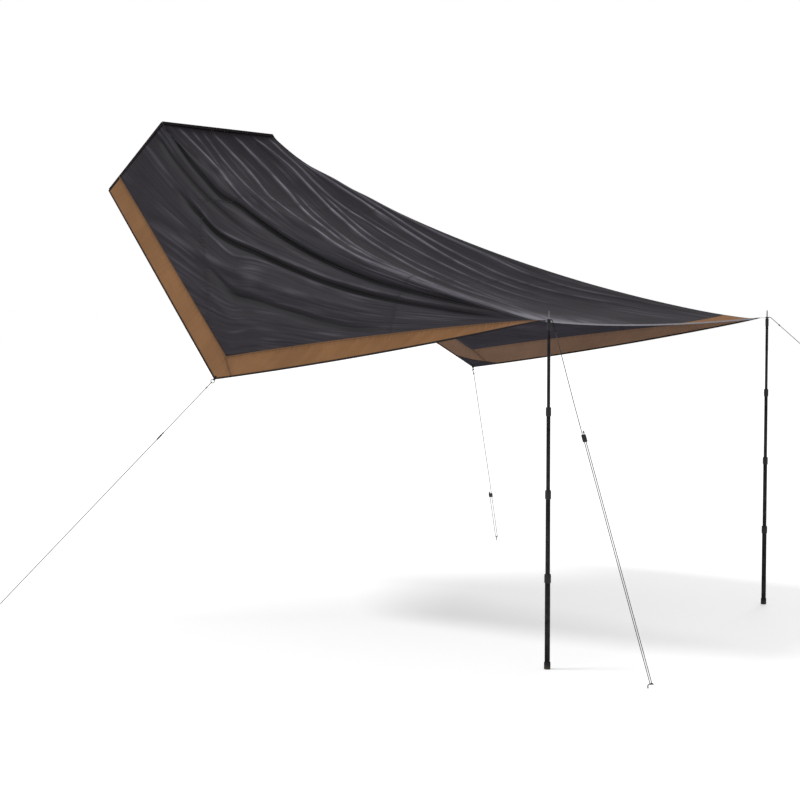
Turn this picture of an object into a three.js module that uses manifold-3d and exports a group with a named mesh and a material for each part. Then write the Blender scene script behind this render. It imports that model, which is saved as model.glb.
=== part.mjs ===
// Sun canopy for a roof tent: a tensioned fabric roof with two hanging wings, held along the
// tent lid by keder beads, at its front corners by two telescopic poles, and by four guylines.
// Millimetres, +Z up. The origin is the middle of the top keder, +X runs out from the tent to
// the poles and +Y towards the far pole. "near" is the -Y side and "far" the +Y side.
import * as THREE from 'three';
import { mergeVertices } from 'three/addons/utils/BufferGeometryUtils.js';
import Module from 'manifold-3d';

const wasm = await Module();
wasm.setup();

// Driving sizes of the canopy
const topKederHalf = 585;
const sideKederRun = 595;
const sideKederDrop = 465;
const wingCornerOut = 1355;
const wingCornerHalf = 1390;
const wingCornerDrop = 1806;
const poleOut = 3892;
const poleHalf = 1302;
const grommetDrop = 1418;
const grommetHeight = 1944;
const groundDrop = grommetDrop + grommetHeight;
const bandWidth = 140;

// Slack of the tensioned cloth
const ridgeSag = { near: 195, far: 232 };
const roofDip = 120;
const frontDip = 35;
const frontBow = 100;
const lowerEdgeSag = 20;
const sagPower = 0.62;
const sagEaseShare = 0.4;
const dipPower = 0.5;

// Fabric, seams and edges
const fabricThickness = 1;
const seamGap = 0.3;
const wingCornerShare = 0.24;
const rearSeamShare = 0.2;
const frontSeamShare = 0.59;
const ridgeRoundShare = 0.1;
const cornerEndWidth = 20;
const cornerSetback = 57;
const bindingWidth = 8;
const bindingThickness = 3;
const hemTapeHeight = 18;
const hemTapeThickness = 1.6;
const hemTapeRise = 3;
const kederRadius = 4;
const kederEndGap = 6;
const patchReach = 150;
const patchDepthShare = 0.8;
const patchEndShare = 0.08;
const patchThickness = 1.2;

const aheadShare = 0.005;
const acrossShare = 0.02;

// Main folds of the cloth
const roofFoldHeight = 13;
const roofFoldCount = 6;
const foldReach = { near: 1.15, far: 0.75 };
const foldConvergePower = 1.3;
const foldEndShare = 0.06;
const wingFoldHeight = 12;
const wingFoldCount = 3.5;
const creaseDepth = 34;
const creaseShares = [0.19, 0.38];
const creaseWidthShare = 0.05;

// Pole corner: webbing tab and eyelet
const spigotRadius = 4.5;
const spigotTipRadius = 3.2;
const spigotLength = 52;
const eyeletBore = 6;
const eyeletBarrel = 8;
const eyeletFlange = 12;
const eyeletFlangeThickness = 0.8;
const tabThickness = 2;
const tabWidth = 26;
const tabEndRadius = 17;

// Telescopic pole, tubes listed from the top
const gap = 0.3;
const tubeRadii = [9, 11, 13, 15];
const tubeWall = 1;
const tubeOverlap = 70;
const collarHeights = [1439, 978, 509];
const collarLength = 50;
const collarWall = 4;
const collarGripDepth = 0.8;
const collarChamfer = 3;
const collarClearance = 0.4;
const capRadius = 11;
const capLength = 50;
const capTopWall = 18;
const coneSlope = Math.tan(THREE.MathUtils.degToRad(30));
const spigotShankLength = 14;
const footRadius = 18.5;
const footHeight = 40;
const footFloor = 8;
const footChamfer = 3;

// Guylines
const cordRadius = 2;
const strandHalfSpacing = 8;
const pegOut = { nearWing: 270, farWing: 677, nearPole: 4586, farPole: 5614 };
const pegAcross = { nearWing: -2365, farWing: 2644, nearPole: -1351, farPole: 2677 };
const sliderShares = { nearWing: 0.244, farWing: 0.734, nearPole: 0.335, farPole: 0.335 };
const ringRadius = 12;
const ringWire = 2;
const hookWire = 2.5;
const hookLength = 40;
const hookTip = 6;
const spigotLoopRadius = 8.5;
const spigotLoopWire = 2;
const loopTailLength = 75;
const loopTailReach = 22;
const pegRadius = 3;
const pegLength = 200;
const pegHeadRise = 30;
const sliderTravel = 150;
const sliderLength = 42;
const sliderThickness = 9;
const sliderMargin = 5;
const sliderCorner = 4;
const sliderBore = 2.6;
const bitOverrun = 5;

const roundSides = 24;
const smallSides = 16;
const cordSides = 8;

const darkCloth = { color: 0x37343b, roughness: 0.62, metalness: 0 };
const tanCloth = { color: 0x93683f, roughness: 0.7, metalness: 0 };
const darkTape = { color: 0x2b2226, roughness: 0.75, metalness: 0 };
const lightTape = { color: 0xb9b6bc, roughness: 0.7, metalness: 0 };
const blackPlastic = { color: 0x232225, roughness: 0.5, metalness: 0 };
const blackTube = { color: 0x303033, roughness: 0.38, metalness: 0.6 };
const steel = { color: 0xa5a3a6, roughness: 0.3, metalness: 1 };
const greyCord = { color: 0x4c4c4f, roughness: 0.7, metalness: 0 };

const canopy = new THREE.Group();

function add(name, geometry, look) {
  const mesh = new THREE.Mesh(geometry, new THREE.MeshStandardMaterial(look));
  mesh.name = name;
  canopy.add(mesh);
  return mesh;
}

// Helpers for points and solids
function point(x, y, z) {
  return new THREE.Vector3(x, y, z);
}

function between(a, b, share) {
  return a.clone().lerp(b, share);
}

function towards(a, b) {
  return b.clone().sub(a).normalize();
}

function smooth(edge, value) {
  return THREE.MathUtils.smoothstep(value, 0, edge);
}

function turned(profile, sides = roundSides) {
  const points = profile.map(([r, z]) => new THREE.Vector2(r, z));
  return new THREE.LatheGeometry(points, sides).rotateX(Math.PI / 2);
}

function closedProfile(profile) {
  return [...profile, profile[0]];
}

// A curve whose steps fall on its own points, so that long straight runs stay straight
class Route extends THREE.CatmullRomCurve3 {
  constructor(points) {
    super(points, false, 'centripetal');
  }

  getPointAt(u, target) {
    return this.getPoint(u, target);
  }

  getTangentAt(u, target) {
    return this.getTangent(u, target);
  }
}

function roundSection(radius, sides) {
  const section = new THREE.Shape();
  for (let k = 0; k < sides; k += 1) {
    const angle = (2 * Math.PI * k) / sides;
    const corner = [radius * Math.cos(angle), radius * Math.sin(angle)];
    if (k === 0) section.moveTo(...corner);
    else section.lineTo(...corner);
  }
  section.closePath();
  return section;
}

function swept(points, radius, sides = cordSides, stepsPerPoint = 1) {
  const steps = (points.length - 1) * stepsPerPoint;
  const options = { steps, extrudePath: new Route(points), bevelEnabled: false };
  return new THREE.ExtrudeGeometry(roundSection(radius, sides), options);
}

// Turn a geometry so that its +Z points along "up" and its +X as near "across" as it can
function aimed(geometry, origin, up, across) {
  const side = across.clone().addScaledVector(up, -across.dot(up)).normalize();
  const frame = new THREE.Matrix4().makeBasis(side, up.clone().cross(side), up);
  return geometry.applyMatrix4(frame).translate(...origin);
}

function toSolid(geometry) {
  const bare = geometry.clone();
  bare.deleteAttribute('normal');
  bare.deleteAttribute('uv');
  const merged = mergeVertices(bare, gap / 1000);
  const vertProperties = new Float32Array(merged.attributes.position.array);
  const triVerts = new Uint32Array(merged.index.array);
  return new wasm.Manifold(new wasm.Mesh({ numProp: 3, vertProperties, triVerts }));
}

function toGeometry(solid) {
  const mesh = solid.getMesh();
  const geometry = new THREE.BufferGeometry();
  geometry.setAttribute('position', new THREE.Float32BufferAttribute(mesh.vertProperties, 3));
  geometry.setIndex([...mesh.triVerts]);
  geometry.computeVertexNormals();
  return geometry;
}

function joined(first, second) {
  return toGeometry(toSolid(first).add(toSolid(second)));
}

// A thin closed solid on a grid: place(i, j) is its middle surface and facing(i, j) its normal
function sheet(rows, columns, place, facing, thickness) {
  const positions = [];
  for (const side of [1, -1]) {
    for (let i = 0; i <= rows; i += 1) {
      for (let j = 0; j <= columns; j += 1) {
        positions.push(...place(i, j).addScaledVector(facing(i, j), (side * thickness) / 2));
      }
    }
  }
  const geometry = new THREE.BufferGeometry();
  geometry.setAttribute('position', new THREE.Float32BufferAttribute(positions, 3));
  geometry.setIndex(sheetFaces(rows, columns));
  geometry.computeVertexNormals();
  return geometry;
}

function sheetFaces(rows, columns) {
  const count = (rows + 1) * (columns + 1);
  const top = (i, j) => i * (columns + 1) + j;
  const bottom = (i, j) => count + top(i, j);
  const faces = [];
  const quad = (a, b, c, d) => faces.push(a, b, c, a, c, d);
  for (let i = 0; i < rows; i += 1) {
    for (let j = 0; j < columns; j += 1) {
      quad(top(i, j), top(i + 1, j), top(i + 1, j + 1), top(i, j + 1));
      quad(bottom(i, j), bottom(i, j + 1), bottom(i + 1, j + 1), bottom(i + 1, j));
    }
    quad(top(i, 0), bottom(i, 0), bottom(i + 1, 0), top(i + 1, 0));
    quad(top(i, columns), top(i + 1, columns), bottom(i + 1, columns), bottom(i, columns));
  }
  for (let j = 0; j < columns; j += 1) {
    quad(top(0, j), top(0, j + 1), bottom(0, j + 1), bottom(0, j));
    quad(top(rows, j), bottom(rows, j), bottom(rows, j + 1), top(rows, j + 1));
  }
  return faces;
}

// The canopy's shape. s runs from 0 at the tent lid to 1 at the poles.
// q runs across it: within 1 of zero is the roof between the two ridges, from 1 to 2 a wing
// down to its tan band's seam, from 2 to 3 the band, and past 3 beyond the free edge.
const lidCorner = point(0, topKederHalf, 0);
const kederEnd = point(-sideKederRun, topKederHalf, -sideKederDrop);
const wingCorner = point(wingCornerOut, wingCornerHalf, -wingCornerDrop);
const fabricEnd = point(poleOut - cornerSetback, poleHalf, -grommetDrop);
const ridgeEnd = fabricEnd.clone().add(point(0, -cornerEndWidth / 2, 0));
const edgeEnd = fabricEnd.clone().add(point(0, cornerEndWidth / 2, 0));

function sideName(q) {
  return q < 0 ? 'near' : 'far';
}

function ridgePoint(s, side) {
  const p = between(lidCorner, ridgeEnd, s);
  p.z -= ridgeSag[side] * (4 * s * (1 - s)) ** sagPower * (1 - sagEaseShare * s ** 4);
  return p;
}

// The tan bands' inner corner, where both inner seams meet
function innerCorner() {
  const up = towards(wingCorner, kederEnd);
  const along = towards(wingCorner, edgeEnd);
  const half = up.angleTo(along) / 2;
  return wingCorner.clone().addScaledVector(up.add(along).normalize(), bandWidth / Math.sin(half));
}

function innerStart() {
  const up = towards(kederEnd, lidCorner);
  const along = towards(kederEnd, wingCorner);
  return kederEnd.clone().addScaledVector(up, bandWidth / Math.sin(up.angleTo(along)));
}

const bandCorner = innerCorner();
const bandStart = innerStart();

function edgePoint(s) {
  if (s <= wingCornerShare) return between(kederEnd, wingCorner, s / wingCornerShare);
  const share = (s - wingCornerShare) / (1 - wingCornerShare);
  const p = between(wingCorner, edgeEnd, share);
  p.z -= lowerEdgeSag * 4 * share * (1 - share);
  return p;
}

function seamPoint(s) {
  if (s <= wingCornerShare) return between(bandStart, bandCorner, s / wingCornerShare);
  const share = (s - wingCornerShare) / (1 - wingCornerShare);
  const p = between(bandCorner, fabricEnd, share);
  p.z += lowerEdgeSag * 4 * share * (1 - share);
  return p;
}

function roofPoint(s, q) {
  const near = ridgePoint(s, 'near');
  const far = ridgePoint(s, 'far');
  const p = far.clone();
  p.y = far.y * q;
  p.z = near.z + ((far.z - near.z) * (q + 1)) / 2;
  const dip = roofDip * (4 * s * (1 - s)) ** dipPower + frontDip * s ** 6;
  p.z -= dip * (1 - q * q);
  p.x -= frontBow * s ** 4 * (1 - q * q);
  return p;
}

function mirrored(p, side) {
  return side === 'near' ? p.multiply(point(1, -1, 1)) : p;
}

function flatPoint(s, q) {
  const size = Math.abs(q);
  if (size <= 1) return roofPoint(s, q);
  const side = sideName(q);
  const [ridge, seam, edge] = [ridgePoint(s, side), seamPoint(s), edgePoint(s)];
  if (size <= 2) return mirrored(between(ridge, seam, size - 1), side);
  if (size <= 3) return mirrored(between(seam, edge, size - 2), side);
  const beyond = towards(seam, edge).multiplyScalar((size - 3) * bindingWidth);
  return mirrored(edge.add(beyond), side);
}

// The cloth turns over each ridge in a soft round, which closes up at the lid
function roundedPoint(s, q) {
  const share = ridgeRoundShare * smooth(ridgeRoundShare, s);
  const size = Math.abs(q);
  const sign = Math.sign(q);
  if (share === 0 || Math.abs(size - 1) >= share) return flatPoint(s, q);
  const k = (size - 1 + share) / (2 * share);
  const [from, via, to] = [1 - share, 1, 1 + share].map((at) => flatPoint(s, sign * at));
  return between(between(from, via, k), between(via, to, k), k);
}

// The roof's folds start along the lid and close up towards the pole corners
function closing(s) {
  return foldEndShare + (1 - foldEndShare) * (1 - s) ** foldConvergePower;
}

// How far the folds lift the cloth out of the smooth shape
function roofFolds(s, q) {
  const fan = (lateral, reach) => {
    const line = lateral / closing(s);
    const strength = 1 - THREE.MathUtils.smoothstep(line, reach / 2, reach);
    return strength * Math.sin(Math.PI * roofFoldCount * line);
  };
  const fade = smooth(ridgeRoundShare / 2, s) * (1 - s);
  return roofFoldHeight * fade * (fan(1 + q, foldReach.near) + fan(1 - q, foldReach.far));
}

function wingFolds(s, q) {
  const v = Math.abs(q) - 1;
  const fade = smooth(ridgeRoundShare, s) * (1 - s) * smooth(ridgeRoundShare, v) * (1 - v);
  const soft = wingFoldHeight * Math.sin(2 * Math.PI * wingFoldCount * v);
  const creases = creaseShares.map((at) => Math.exp(-(((v - at) / creaseWidthShare) ** 2)));
  return fade * (soft - creaseDepth * creases.reduce((sum, crease) => sum + crease, 0));
}

function foldLift(s, q) {
  const size = Math.abs(q);
  if (size <= 1) return roofFolds(s, q);
  return size < 2 ? wingFolds(s, q) : 0;
}

function surfaceNormal(surface, s, q) {
  const here = surface(s, q);
  const slope = (before, after) => towards(before, here).add(towards(here, after));
  const ahead = slope(surface(Math.max(s - aheadShare, 0), q), surface(Math.min(s + aheadShare, 1), q));
  const across = slope(surface(s, q - acrossShare), surface(s, q + acrossShare));
  return ahead.cross(across).normalize();
}

function clothPoint(s, q) {
  const p = roundedPoint(s, q);
  const lift = foldLift(s, q);
  return lift === 0 ? p : p.addScaledVector(surfaceNormal(roundedPoint, s, q), lift);
}

// Half a seam's gap, as a share of s and of a band's or wing's own width
const seamShare = seamGap / 2 / poleOut;

function seamShareAcross(s, zone) {
  const ends = zone === 'wing' ? [ridgePoint(s, 'far'), seamPoint(s)] : [seamPoint(s), edgePoint(s)];
  return seamGap / 2 / ends[0].distanceTo(ends[1]);
}

// Panels of dark cloth from band seam to band seam. Their columns follow the folds.
const wingColumns = 12;
const foldColumns = { near: 20, far: 14 };
const middleColumns = 8;
const roofColumns = foldColumns.near + middleColumns + foldColumns.far;
const panelColumns = 2 * wingColumns + roofColumns;

function roofColumn(s, j) {
  const inner = foldReach.near * closing(s) - 1;
  const outer = 1 - foldReach.far * closing(s);
  const fromFar = roofColumns - j;
  if (j < foldColumns.near) return ((inner + 1) * j) / foldColumns.near - 1;
  if (fromFar < foldColumns.far) return 1 - ((1 - outer) * fromFar) / foldColumns.far;
  return THREE.MathUtils.lerp(inner, outer, (j - foldColumns.near) / middleColumns);
}

function panelColumn(s, j) {
  const reach = 1 - seamShareAcross(s, 'wing');
  const fromFar = panelColumns - j;
  if (j < wingColumns) return (reach * j) / wingColumns - reach - 1;
  if (fromFar < wingColumns) return 1 + reach - (reach * fromFar) / wingColumns;
  return roofColumn(s, j - wingColumns);
}

// A sheet of cloth whose rows lie at the given shares s and whose columns at q = column(s, j)
function cloth(shares, columns, column, thickness, sink = 0) {
  const facing = (i, j) => surfaceNormal(clothPoint, shares[i], column(shares[i], j));
  const place = (i, j) => {
    const p = clothPoint(shares[i], column(shares[i], j));
    return sink === 0 ? p : p.addScaledVector(facing(i, j), -sink);
  };
  return sheet(shares.length - 1, columns, place, facing, thickness);
}

function panel(shares) {
  return cloth(shares, panelColumns, panelColumn, fabricThickness);
}

function spread(from, to, count) {
  return Array.from({ length: count + 1 }, (_, i) => from + ((to - from) * i) / count);
}

// Rows of points along s, shared by the panels and the bands so that their seams agree.
// The corner rows are the ends and the middle of the patches inside the wing corners.
const patchBefore = (patchReach * wingCornerShare) / kederEnd.distanceTo(wingCorner);
const patchAfter = (patchReach * (1 - wingCornerShare)) / edgeEnd.distanceTo(wingCorner);
const cornerRows = [wingCornerShare - patchBefore, wingCornerShare, wingCornerShare + patchAfter];
const rearRows = spread(0, rearSeamShare, 6);
const middleRows = [rearSeamShare, ...cornerRows, ...spread(cornerRows[2], frontSeamShare, 5).slice(1)];
const frontShares = [0, 0.2, 0.4, 0.58, 0.73, 0.85, 0.94, 1];
const frontRows = frontShares.map((share) => frontSeamShare + share * (1 - frontSeamShare));
const sideRows = [...rearRows, ...cornerRows.slice(0, 2)];
const lowerRows = [...middleRows.slice(2), ...frontRows.slice(1)];

function trimmed(shares) {
  const last = shares.length - 1;
  return shares.map((s, i) => {
    if (i === 0 && s > 0) return s + seamShare;
    return i === last && s < 1 ? s - seamShare : s;
  });
}

add('rear_panel', panel(trimmed(rearRows)), darkCloth);
add('middle_panel', panel(trimmed(middleRows)), darkCloth);
add('front_panel', panel(trimmed(frontRows)), darkCloth);

// Tan bands, edge bindings and corner patches, once for each wing
const bandColumns = 2;

function strip(sign, shares, from, to, columns, thickness, sink) {
  const column = (s, j) => {
    const k = sign > 0 ? j : columns - j;
    return sign * (from(s) + ((to(s) - from(s)) * k) / columns);
  };
  return cloth(shares, columns, column, thickness, sink);
}

function bandStrip(sign, shares) {
  const from = (s) => 2 + seamShareAcross(s, 'band');
  return strip(sign, shares, from, () => 3, bandColumns, fabricThickness);
}

function bindingStrip(sign) {
  const shares = [...sideRows, ...lowerRows.slice(1)];
  const from = () => 3 + seamGap / bindingWidth;
  return strip(sign, shares, from, () => 4, 1, bindingThickness);
}

// A patch inside the band's corner, deep at the corner and narrow at both of its ends
function cornerPatch(sign) {
  const depth = (s) => (s === wingCornerShare ? patchDepthShare : patchEndShare);
  const sink = (fabricThickness + patchThickness) / 2 + gap;
  return strip(sign, cornerRows, (s) => 3 - depth(s), () => 3, bandColumns, patchThickness, sink);
}

for (const [name, sign] of [['near', -1], ['far', 1]]) {
  add(`${name}_side_band`, bandStrip(sign, trimmed(sideRows)), tanCloth);
  add(`${name}_lower_band`, bandStrip(sign, trimmed(lowerRows)), tanCloth);
  add(`${name}_edge_binding`, bindingStrip(sign), darkTape);
  add(`${name}_corner_patch`, cornerPatch(sign), darkCloth);
}

// Light hem tape along the front edge, between the corner tabs
function hemTape() {
  const reach = 1 - tabWidth / poleHalf;
  const inside = Array.from({ length: roofColumns + 1 }, (_, j) => roofColumn(1, j))
    .filter((q) => Math.abs(q) < reach);
  const across = [-reach, ...inside, reach];
  const setOff = (fabricThickness + hemTapeThickness) / 2 + seamGap;
  const place = (i, j) => {
    const rise = hemTapeRise - i * hemTapeHeight;
    return roofPoint(1, across[j]).add(point(setOff, 0, rise));
  };
  return sheet(1, across.length - 1, place, () => point(1, 0, 0), hemTapeThickness);
}

add('front_hem_tape', hemTape(), lightTape);

// Keder beads along the lid's top edge and both of its sides
function kederBead(from, to, away) {
  const along = towards(from, to);
  const setOff = away.clone().multiplyScalar(kederRadius + gap + fabricThickness / 2);
  const start = from.clone().addScaledVector(along, kederEndGap).add(setOff);
  const end = to.clone().addScaledVector(along, -kederEndGap).add(setOff);
  return swept([start, between(start, end, 1 / 2), end], kederRadius, roundSides / 2);
}

function topKeder() {
  const away = towards(clothPoint(rearSeamShare / 4, 0), point(0, 0, 0));
  return kederBead(mirrored(lidCorner.clone(), 'near'), lidCorner, away);
}

function sideKeder(side) {
  const along = towards(lidCorner, kederEnd);
  const out = towards(kederEnd, wingCorner);
  const away = out.addScaledVector(along, -out.dot(along)).normalize().negate();
  const ends = [lidCorner, kederEnd, away].map((p) => mirrored(p.clone(), side));
  return kederBead(...ends);
}

add('top_keder', topKeder(), darkTape);
for (const side of ['near', 'far']) add(`${side}_side_keder`, sideKeder(side), darkTape);

// Pole corner: a webbing tab with an eyelet that drops over the pole's spigot
function cornerTab() {
  const shape = new THREE.Shape();
  const inboard = fabricThickness / 2 + seamGap - cornerSetback;
  const half = tabWidth / 2;
  const turn = Math.asin(half / tabEndRadius);
  shape.moveTo(inboard, -half);
  shape.lineTo(-tabEndRadius * Math.cos(turn), -half);
  shape.absarc(0, 0, tabEndRadius, -Math.PI + turn, Math.PI - turn, false);
  shape.lineTo(inboard, half);
  shape.closePath();
  const hole = new THREE.Path();
  hole.absarc(0, 0, eyeletBarrel + gap, 0, 2 * Math.PI, true);
  shape.holes.push(hole);
  const options = { depth: tabThickness, bevelEnabled: false, curveSegments: roundSides };
  return new THREE.ExtrudeGeometry(shape, options).translate(0, 0, -tabThickness / 2);
}

const flangeIn = tabThickness / 2 + gap;
const flangeOut = flangeIn + eyeletFlangeThickness;

function eyelet() {
  return turned(closedProfile([
    [eyeletBore, -flangeOut],
    [eyeletFlange, -flangeOut],
    [eyeletFlange, -flangeIn],
    [eyeletBarrel, -flangeIn],
    [eyeletBarrel, flangeIn],
    [eyeletFlange, flangeIn],
    [eyeletFlange, flangeOut],
    [eyeletBore, flangeOut],
  ]), smallSides);
}

// Pole pieces, in heights above the ground on the pole's own axis
const coneTop = grommetHeight - flangeOut - gap;
const capShoulder = coneTop - (capRadius - spigotRadius) * coneSlope;
const capBottom = capShoulder - capLength;
const tubeSeat = capShoulder - capTopWall;
const shankBottom = coneTop - spigotShankLength;

function spigot() {
  const tip = grommetHeight + spigotLength;
  return turned([
    [0, shankBottom],
    [spigotRadius, shankBottom],
    [spigotRadius, grommetHeight + flangeOut],
    [spigotTipRadius, tip - spigotTipRadius],
    [spigotTipRadius / 2, tip - spigotTipRadius / 4],
    [0, tip],
  ]);
}

function poleCap() {
  const bore = tubeRadii[0] + gap;
  const pin = spigotRadius + gap;
  return turned([
    [0, tubeSeat],
    [bore, tubeSeat],
    [bore, capBottom],
    [capRadius, capBottom],
    [capRadius, capShoulder],
    [pin, coneTop],
    [pin, shankBottom - gap],
    [0, shankBottom - gap],
  ]);
}

function tube(index) {
  const outer = tubeRadii[index];
  const top = index === 0 ? tubeSeat - gap : collarHeights[index - 1];
  const bottom = index < collarHeights.length ? collarHeights[index] - tubeOverlap : footFloor + gap;
  return turned(closedProfile([
    [outer - tubeWall, bottom],
    [outer, bottom],
    [outer, top],
    [outer - tubeWall, top],
  ]));
}

// Twist lock: a gripped sleeve, wide over the lower tube and narrow over the upper one
function collar(index) {
  const middle = collarHeights[index];
  const [low, high] = [middle - collarLength / 2, middle + collarLength / 2];
  const wide = tubeRadii[index + 1] + collarClearance;
  const narrow = tubeRadii[index] + collarClearance;
  const outer = tubeRadii[index + 1] + collarWall;
  const geometry = turned(closedProfile([
    [wide, low],
    [outer - collarChamfer, low],
    [outer, low + collarChamfer],
    [outer, high - collarChamfer],
    [outer - collarChamfer, high],
    [narrow, high],
    [narrow, middle + gap],
    [wide, middle + gap],
  ]));
  return gripped(geometry, outer);
}

// Every second side of the sleeve's widest ring is drawn in, which leaves finger grips
function gripped(geometry, outer) {
  const position = geometry.attributes.position;
  for (let k = 0; k < position.count; k += 1) {
    const [x, y] = [position.getX(k), position.getY(k)];
    const radius = Math.hypot(x, y);
    const side = Math.round((Math.atan2(y, x) * roundSides) / (2 * Math.PI));
    if (Math.abs(radius - outer) < gap && side % 2 !== 0) {
      const share = 1 - collarGripDepth / radius;
      position.setXY(k, x * share, y * share);
    }
  }
  return geometry;
}

function poleFoot() {
  const bore = tubeRadii.at(-1) + gap;
  return turned([
    [0, 0],
    [footRadius - footChamfer, 0],
    [footRadius, footChamfer],
    [footRadius, footHeight - footChamfer],
    [footRadius - footChamfer / 2, footHeight],
    [bore, footHeight],
    [bore, footFloor],
    [0, footFloor],
  ]);
}

for (const [name, sign] of [['near', -1], ['far', 1]]) {
  const base = [poleOut, sign * poleHalf, -groundDrop];
  const top = [poleOut, sign * poleHalf, -grommetDrop];
  add(`${name}_corner_tab`, cornerTab(), darkTape).position.set(...top);
  add(`${name}_eyelet`, eyelet(), steel).position.set(...top);
  add(`${name}_spigot`, spigot(), steel).position.set(...base);
  add(`${name}_pole_cap`, poleCap(), blackPlastic).position.set(...base);
  tubeRadii.forEach((_, k) => add(`${name}_tube_${k + 1}`, tube(k), blackTube).position.set(...base));
  collarHeights.forEach((_, k) => add(`${name}_collar_${k + 1}`, collar(k), blackPlastic).position.set(...base));
  add(`${name}_foot`, poleFoot(), blackPlastic).position.set(...base);
}

// Guylines. Each runs from its fitting on the canopy to its peg, doubled below a slider.
// A guyline's frame: down its cord, and level across the plane that its two strands share
function lineFrame(origin, name) {
  const peg = point(pegOut[name], pegAcross[name], pegHeadRise - groundDrop);
  const down = towards(origin, peg);
  const across = down.clone().cross(point(0, 0, 1)).normalize();
  const reach = origin.distanceTo(peg);
  return { origin, down, across, out: across.clone().cross(down), reach, slider: reach * sliderShares[name] };
}

// A point so far down a guyline from its origin, moved across it and out of its strands' plane
function onLine(line, along, across = 0, out = 0) {
  const p = line.origin.clone().addScaledVector(line.down, along);
  return p.addScaledVector(line.across, across).addScaledVector(line.out, out);
}

// The cord runs through the slider, round the peg and back up to end inside the slider
const joinShares = [0.35, 0.7];
const runShares = [0.1, 0.25, 0.4, 0.55, 0.7, 0.85, 0.95];
const turnSteps = 6;

function guyCord(line, start) {
  const half = strandHalfSpacing;
  const { reach, slider } = line;
  const straight = slider - sliderTravel - sliderLength;
  const below = slider + sliderLength;
  const run = runShares.map((share) => below + share * (reach - below));
  const points = [
    onLine(line, start),
    ...joinShares.map((share) => onLine(line, start + share * (straight - start), share * half)),
    ...[straight, slider - sliderLength, slider, ...run].map((along) => onLine(line, along, half)),
    ...spread(0, Math.PI, turnSteps).map((angle) => (
      onLine(line, reach + half * Math.sin(angle), half * Math.cos(angle)))),
    ...[...run.reverse(), slider, slider - sliderLength / 3].map((along) => onLine(line, along, -half)),
  ];
  return swept(points, cordRadius);
}

// The slider is a flat runner with cut corners and a bore for each strand
function slider(line) {
  const half = strandHalfSpacing + sliderBore + sliderMargin;
  const end = sliderLength / 2;
  const cut = sliderCorner;
  const upper = [[half, end - cut], [half - cut, end], [cut - half, end], [-half, end - cut]];
  const lower = upper.map(([x, y]) => [-x, -y]);
  const corners = [...upper, ...lower].map(([x, y]) => new THREE.Vector2(x, y));
  const options = { depth: sliderThickness, bevelEnabled: false };
  const plate = new THREE.ExtrudeGeometry(new THREE.Shape(corners), options);
  plate.translate(0, 0, -sliderThickness / 2);
  const length = sliderLength + bitOverrun;
  const bores = [strandHalfSpacing, -strandHalfSpacing].map((x) => {
    const bit = new THREE.CylinderGeometry(sliderBore, sliderBore, length, roundSides / 2);
    return toSolid(bit.translate(x, 0, 0));
  });
  const runner = toGeometry(bores.reduce((solid, bore) => solid.subtract(bore), toSolid(plate)));
  const frame = new THREE.Matrix4().makeBasis(line.across, line.down, line.out);
  return runner.applyMatrix4(frame).translate(...onLine(line, line.slider));
}

// A round steel peg. Its shank stands in the ground, and its bent head holds the cord's turn.
const pegHeadShares = [[3, 4], [1.3, 3.8], [0, 3], [0, 1], [0, -1], [0, -3.3], [0, -6.7]];
const pegShankShares = [0.025, 0.08, 0.5, 1];

function groundPeg(line) {
  const seat = line.reach + strandHalfSpacing - cordRadius - gap - pegRadius;
  const head = pegHeadShares.map(([along, out]) => (
    onLine(line, seat + along * pegRadius, 0, out * pegRadius)));
  const shank = pegShankShares.map((share) => head.at(-1).clone().add(point(0, 0, -share * pegLength)));
  return swept([...head.slice(0, -1), ...shank], pegRadius, cordSides, 2);
}

// Wing corner fitting: a steel ring at the corner, and the hook that the cord is tied to
const cornerTip = wingCorner.clone().addScaledVector(towards(bandCorner, wingCorner), bindingWidth);
const ringCentre = gap + ringWire + ringRadius;
const hookSeat = ringCentre + ringRadius;
const wingCordStart = hookSeat + hookLength + gap;
const hookShankShares = [[0.33, 1], [0.6, 0.33], [0.8, 0], [1, 0]];

function wingRing(line) {
  const ring = new THREE.TorusGeometry(ringRadius, ringWire, cordSides, smallSides);
  return aimed(ring, onLine(line, ringCentre), line.across, line.down);
}

function wingHook(line) {
  const bend = ringWire + gap + hookWire;
  const turn = spread(0, Math.PI, 4).map((angle) => [-bend * Math.sin(angle), bend * Math.cos(angle)]);
  const shank = hookShankShares.map(([along, across]) => [hookLength * along, -bend * across]);
  const path = [[hookTip, bend], ...turn, ...shank];
  const points = path.map(([along, across]) => onLine(line, hookSeat + along, across));
  return swept(points, hookWire, cordSides, 2);
}

// Pole top fitting: a loop around the spigot with a short tail that the cord is tied to
const loopRise = flangeOut + gap + spigotLoopWire;
const poleCordStart = loopTailLength + gap;

function spigotLoop(line, axis) {
  const ring = new THREE.TorusGeometry(spigotLoopRadius, spigotLoopWire, cordSides, smallSides);
  const tail = [
    between(axis, line.origin, spigotLoopRadius / loopTailReach),
    between(axis, line.origin, (spigotLoopRadius / loopTailReach + 1) / 2),
    line.origin,
    onLine(line, spigotLoopWire * 3),
    onLine(line, loopTailLength),
  ];
  return joined(ring.translate(...axis), swept(tail, spigotLoopWire, cordSides, 2));
}

function addLine(name, line, start) {
  add(`${name}_guyline`, guyCord(line, start), greyCord);
  add(`${name}_slider`, slider(line), blackPlastic);
  add(`${name}_peg`, groundPeg(line), steel);
}

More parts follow.
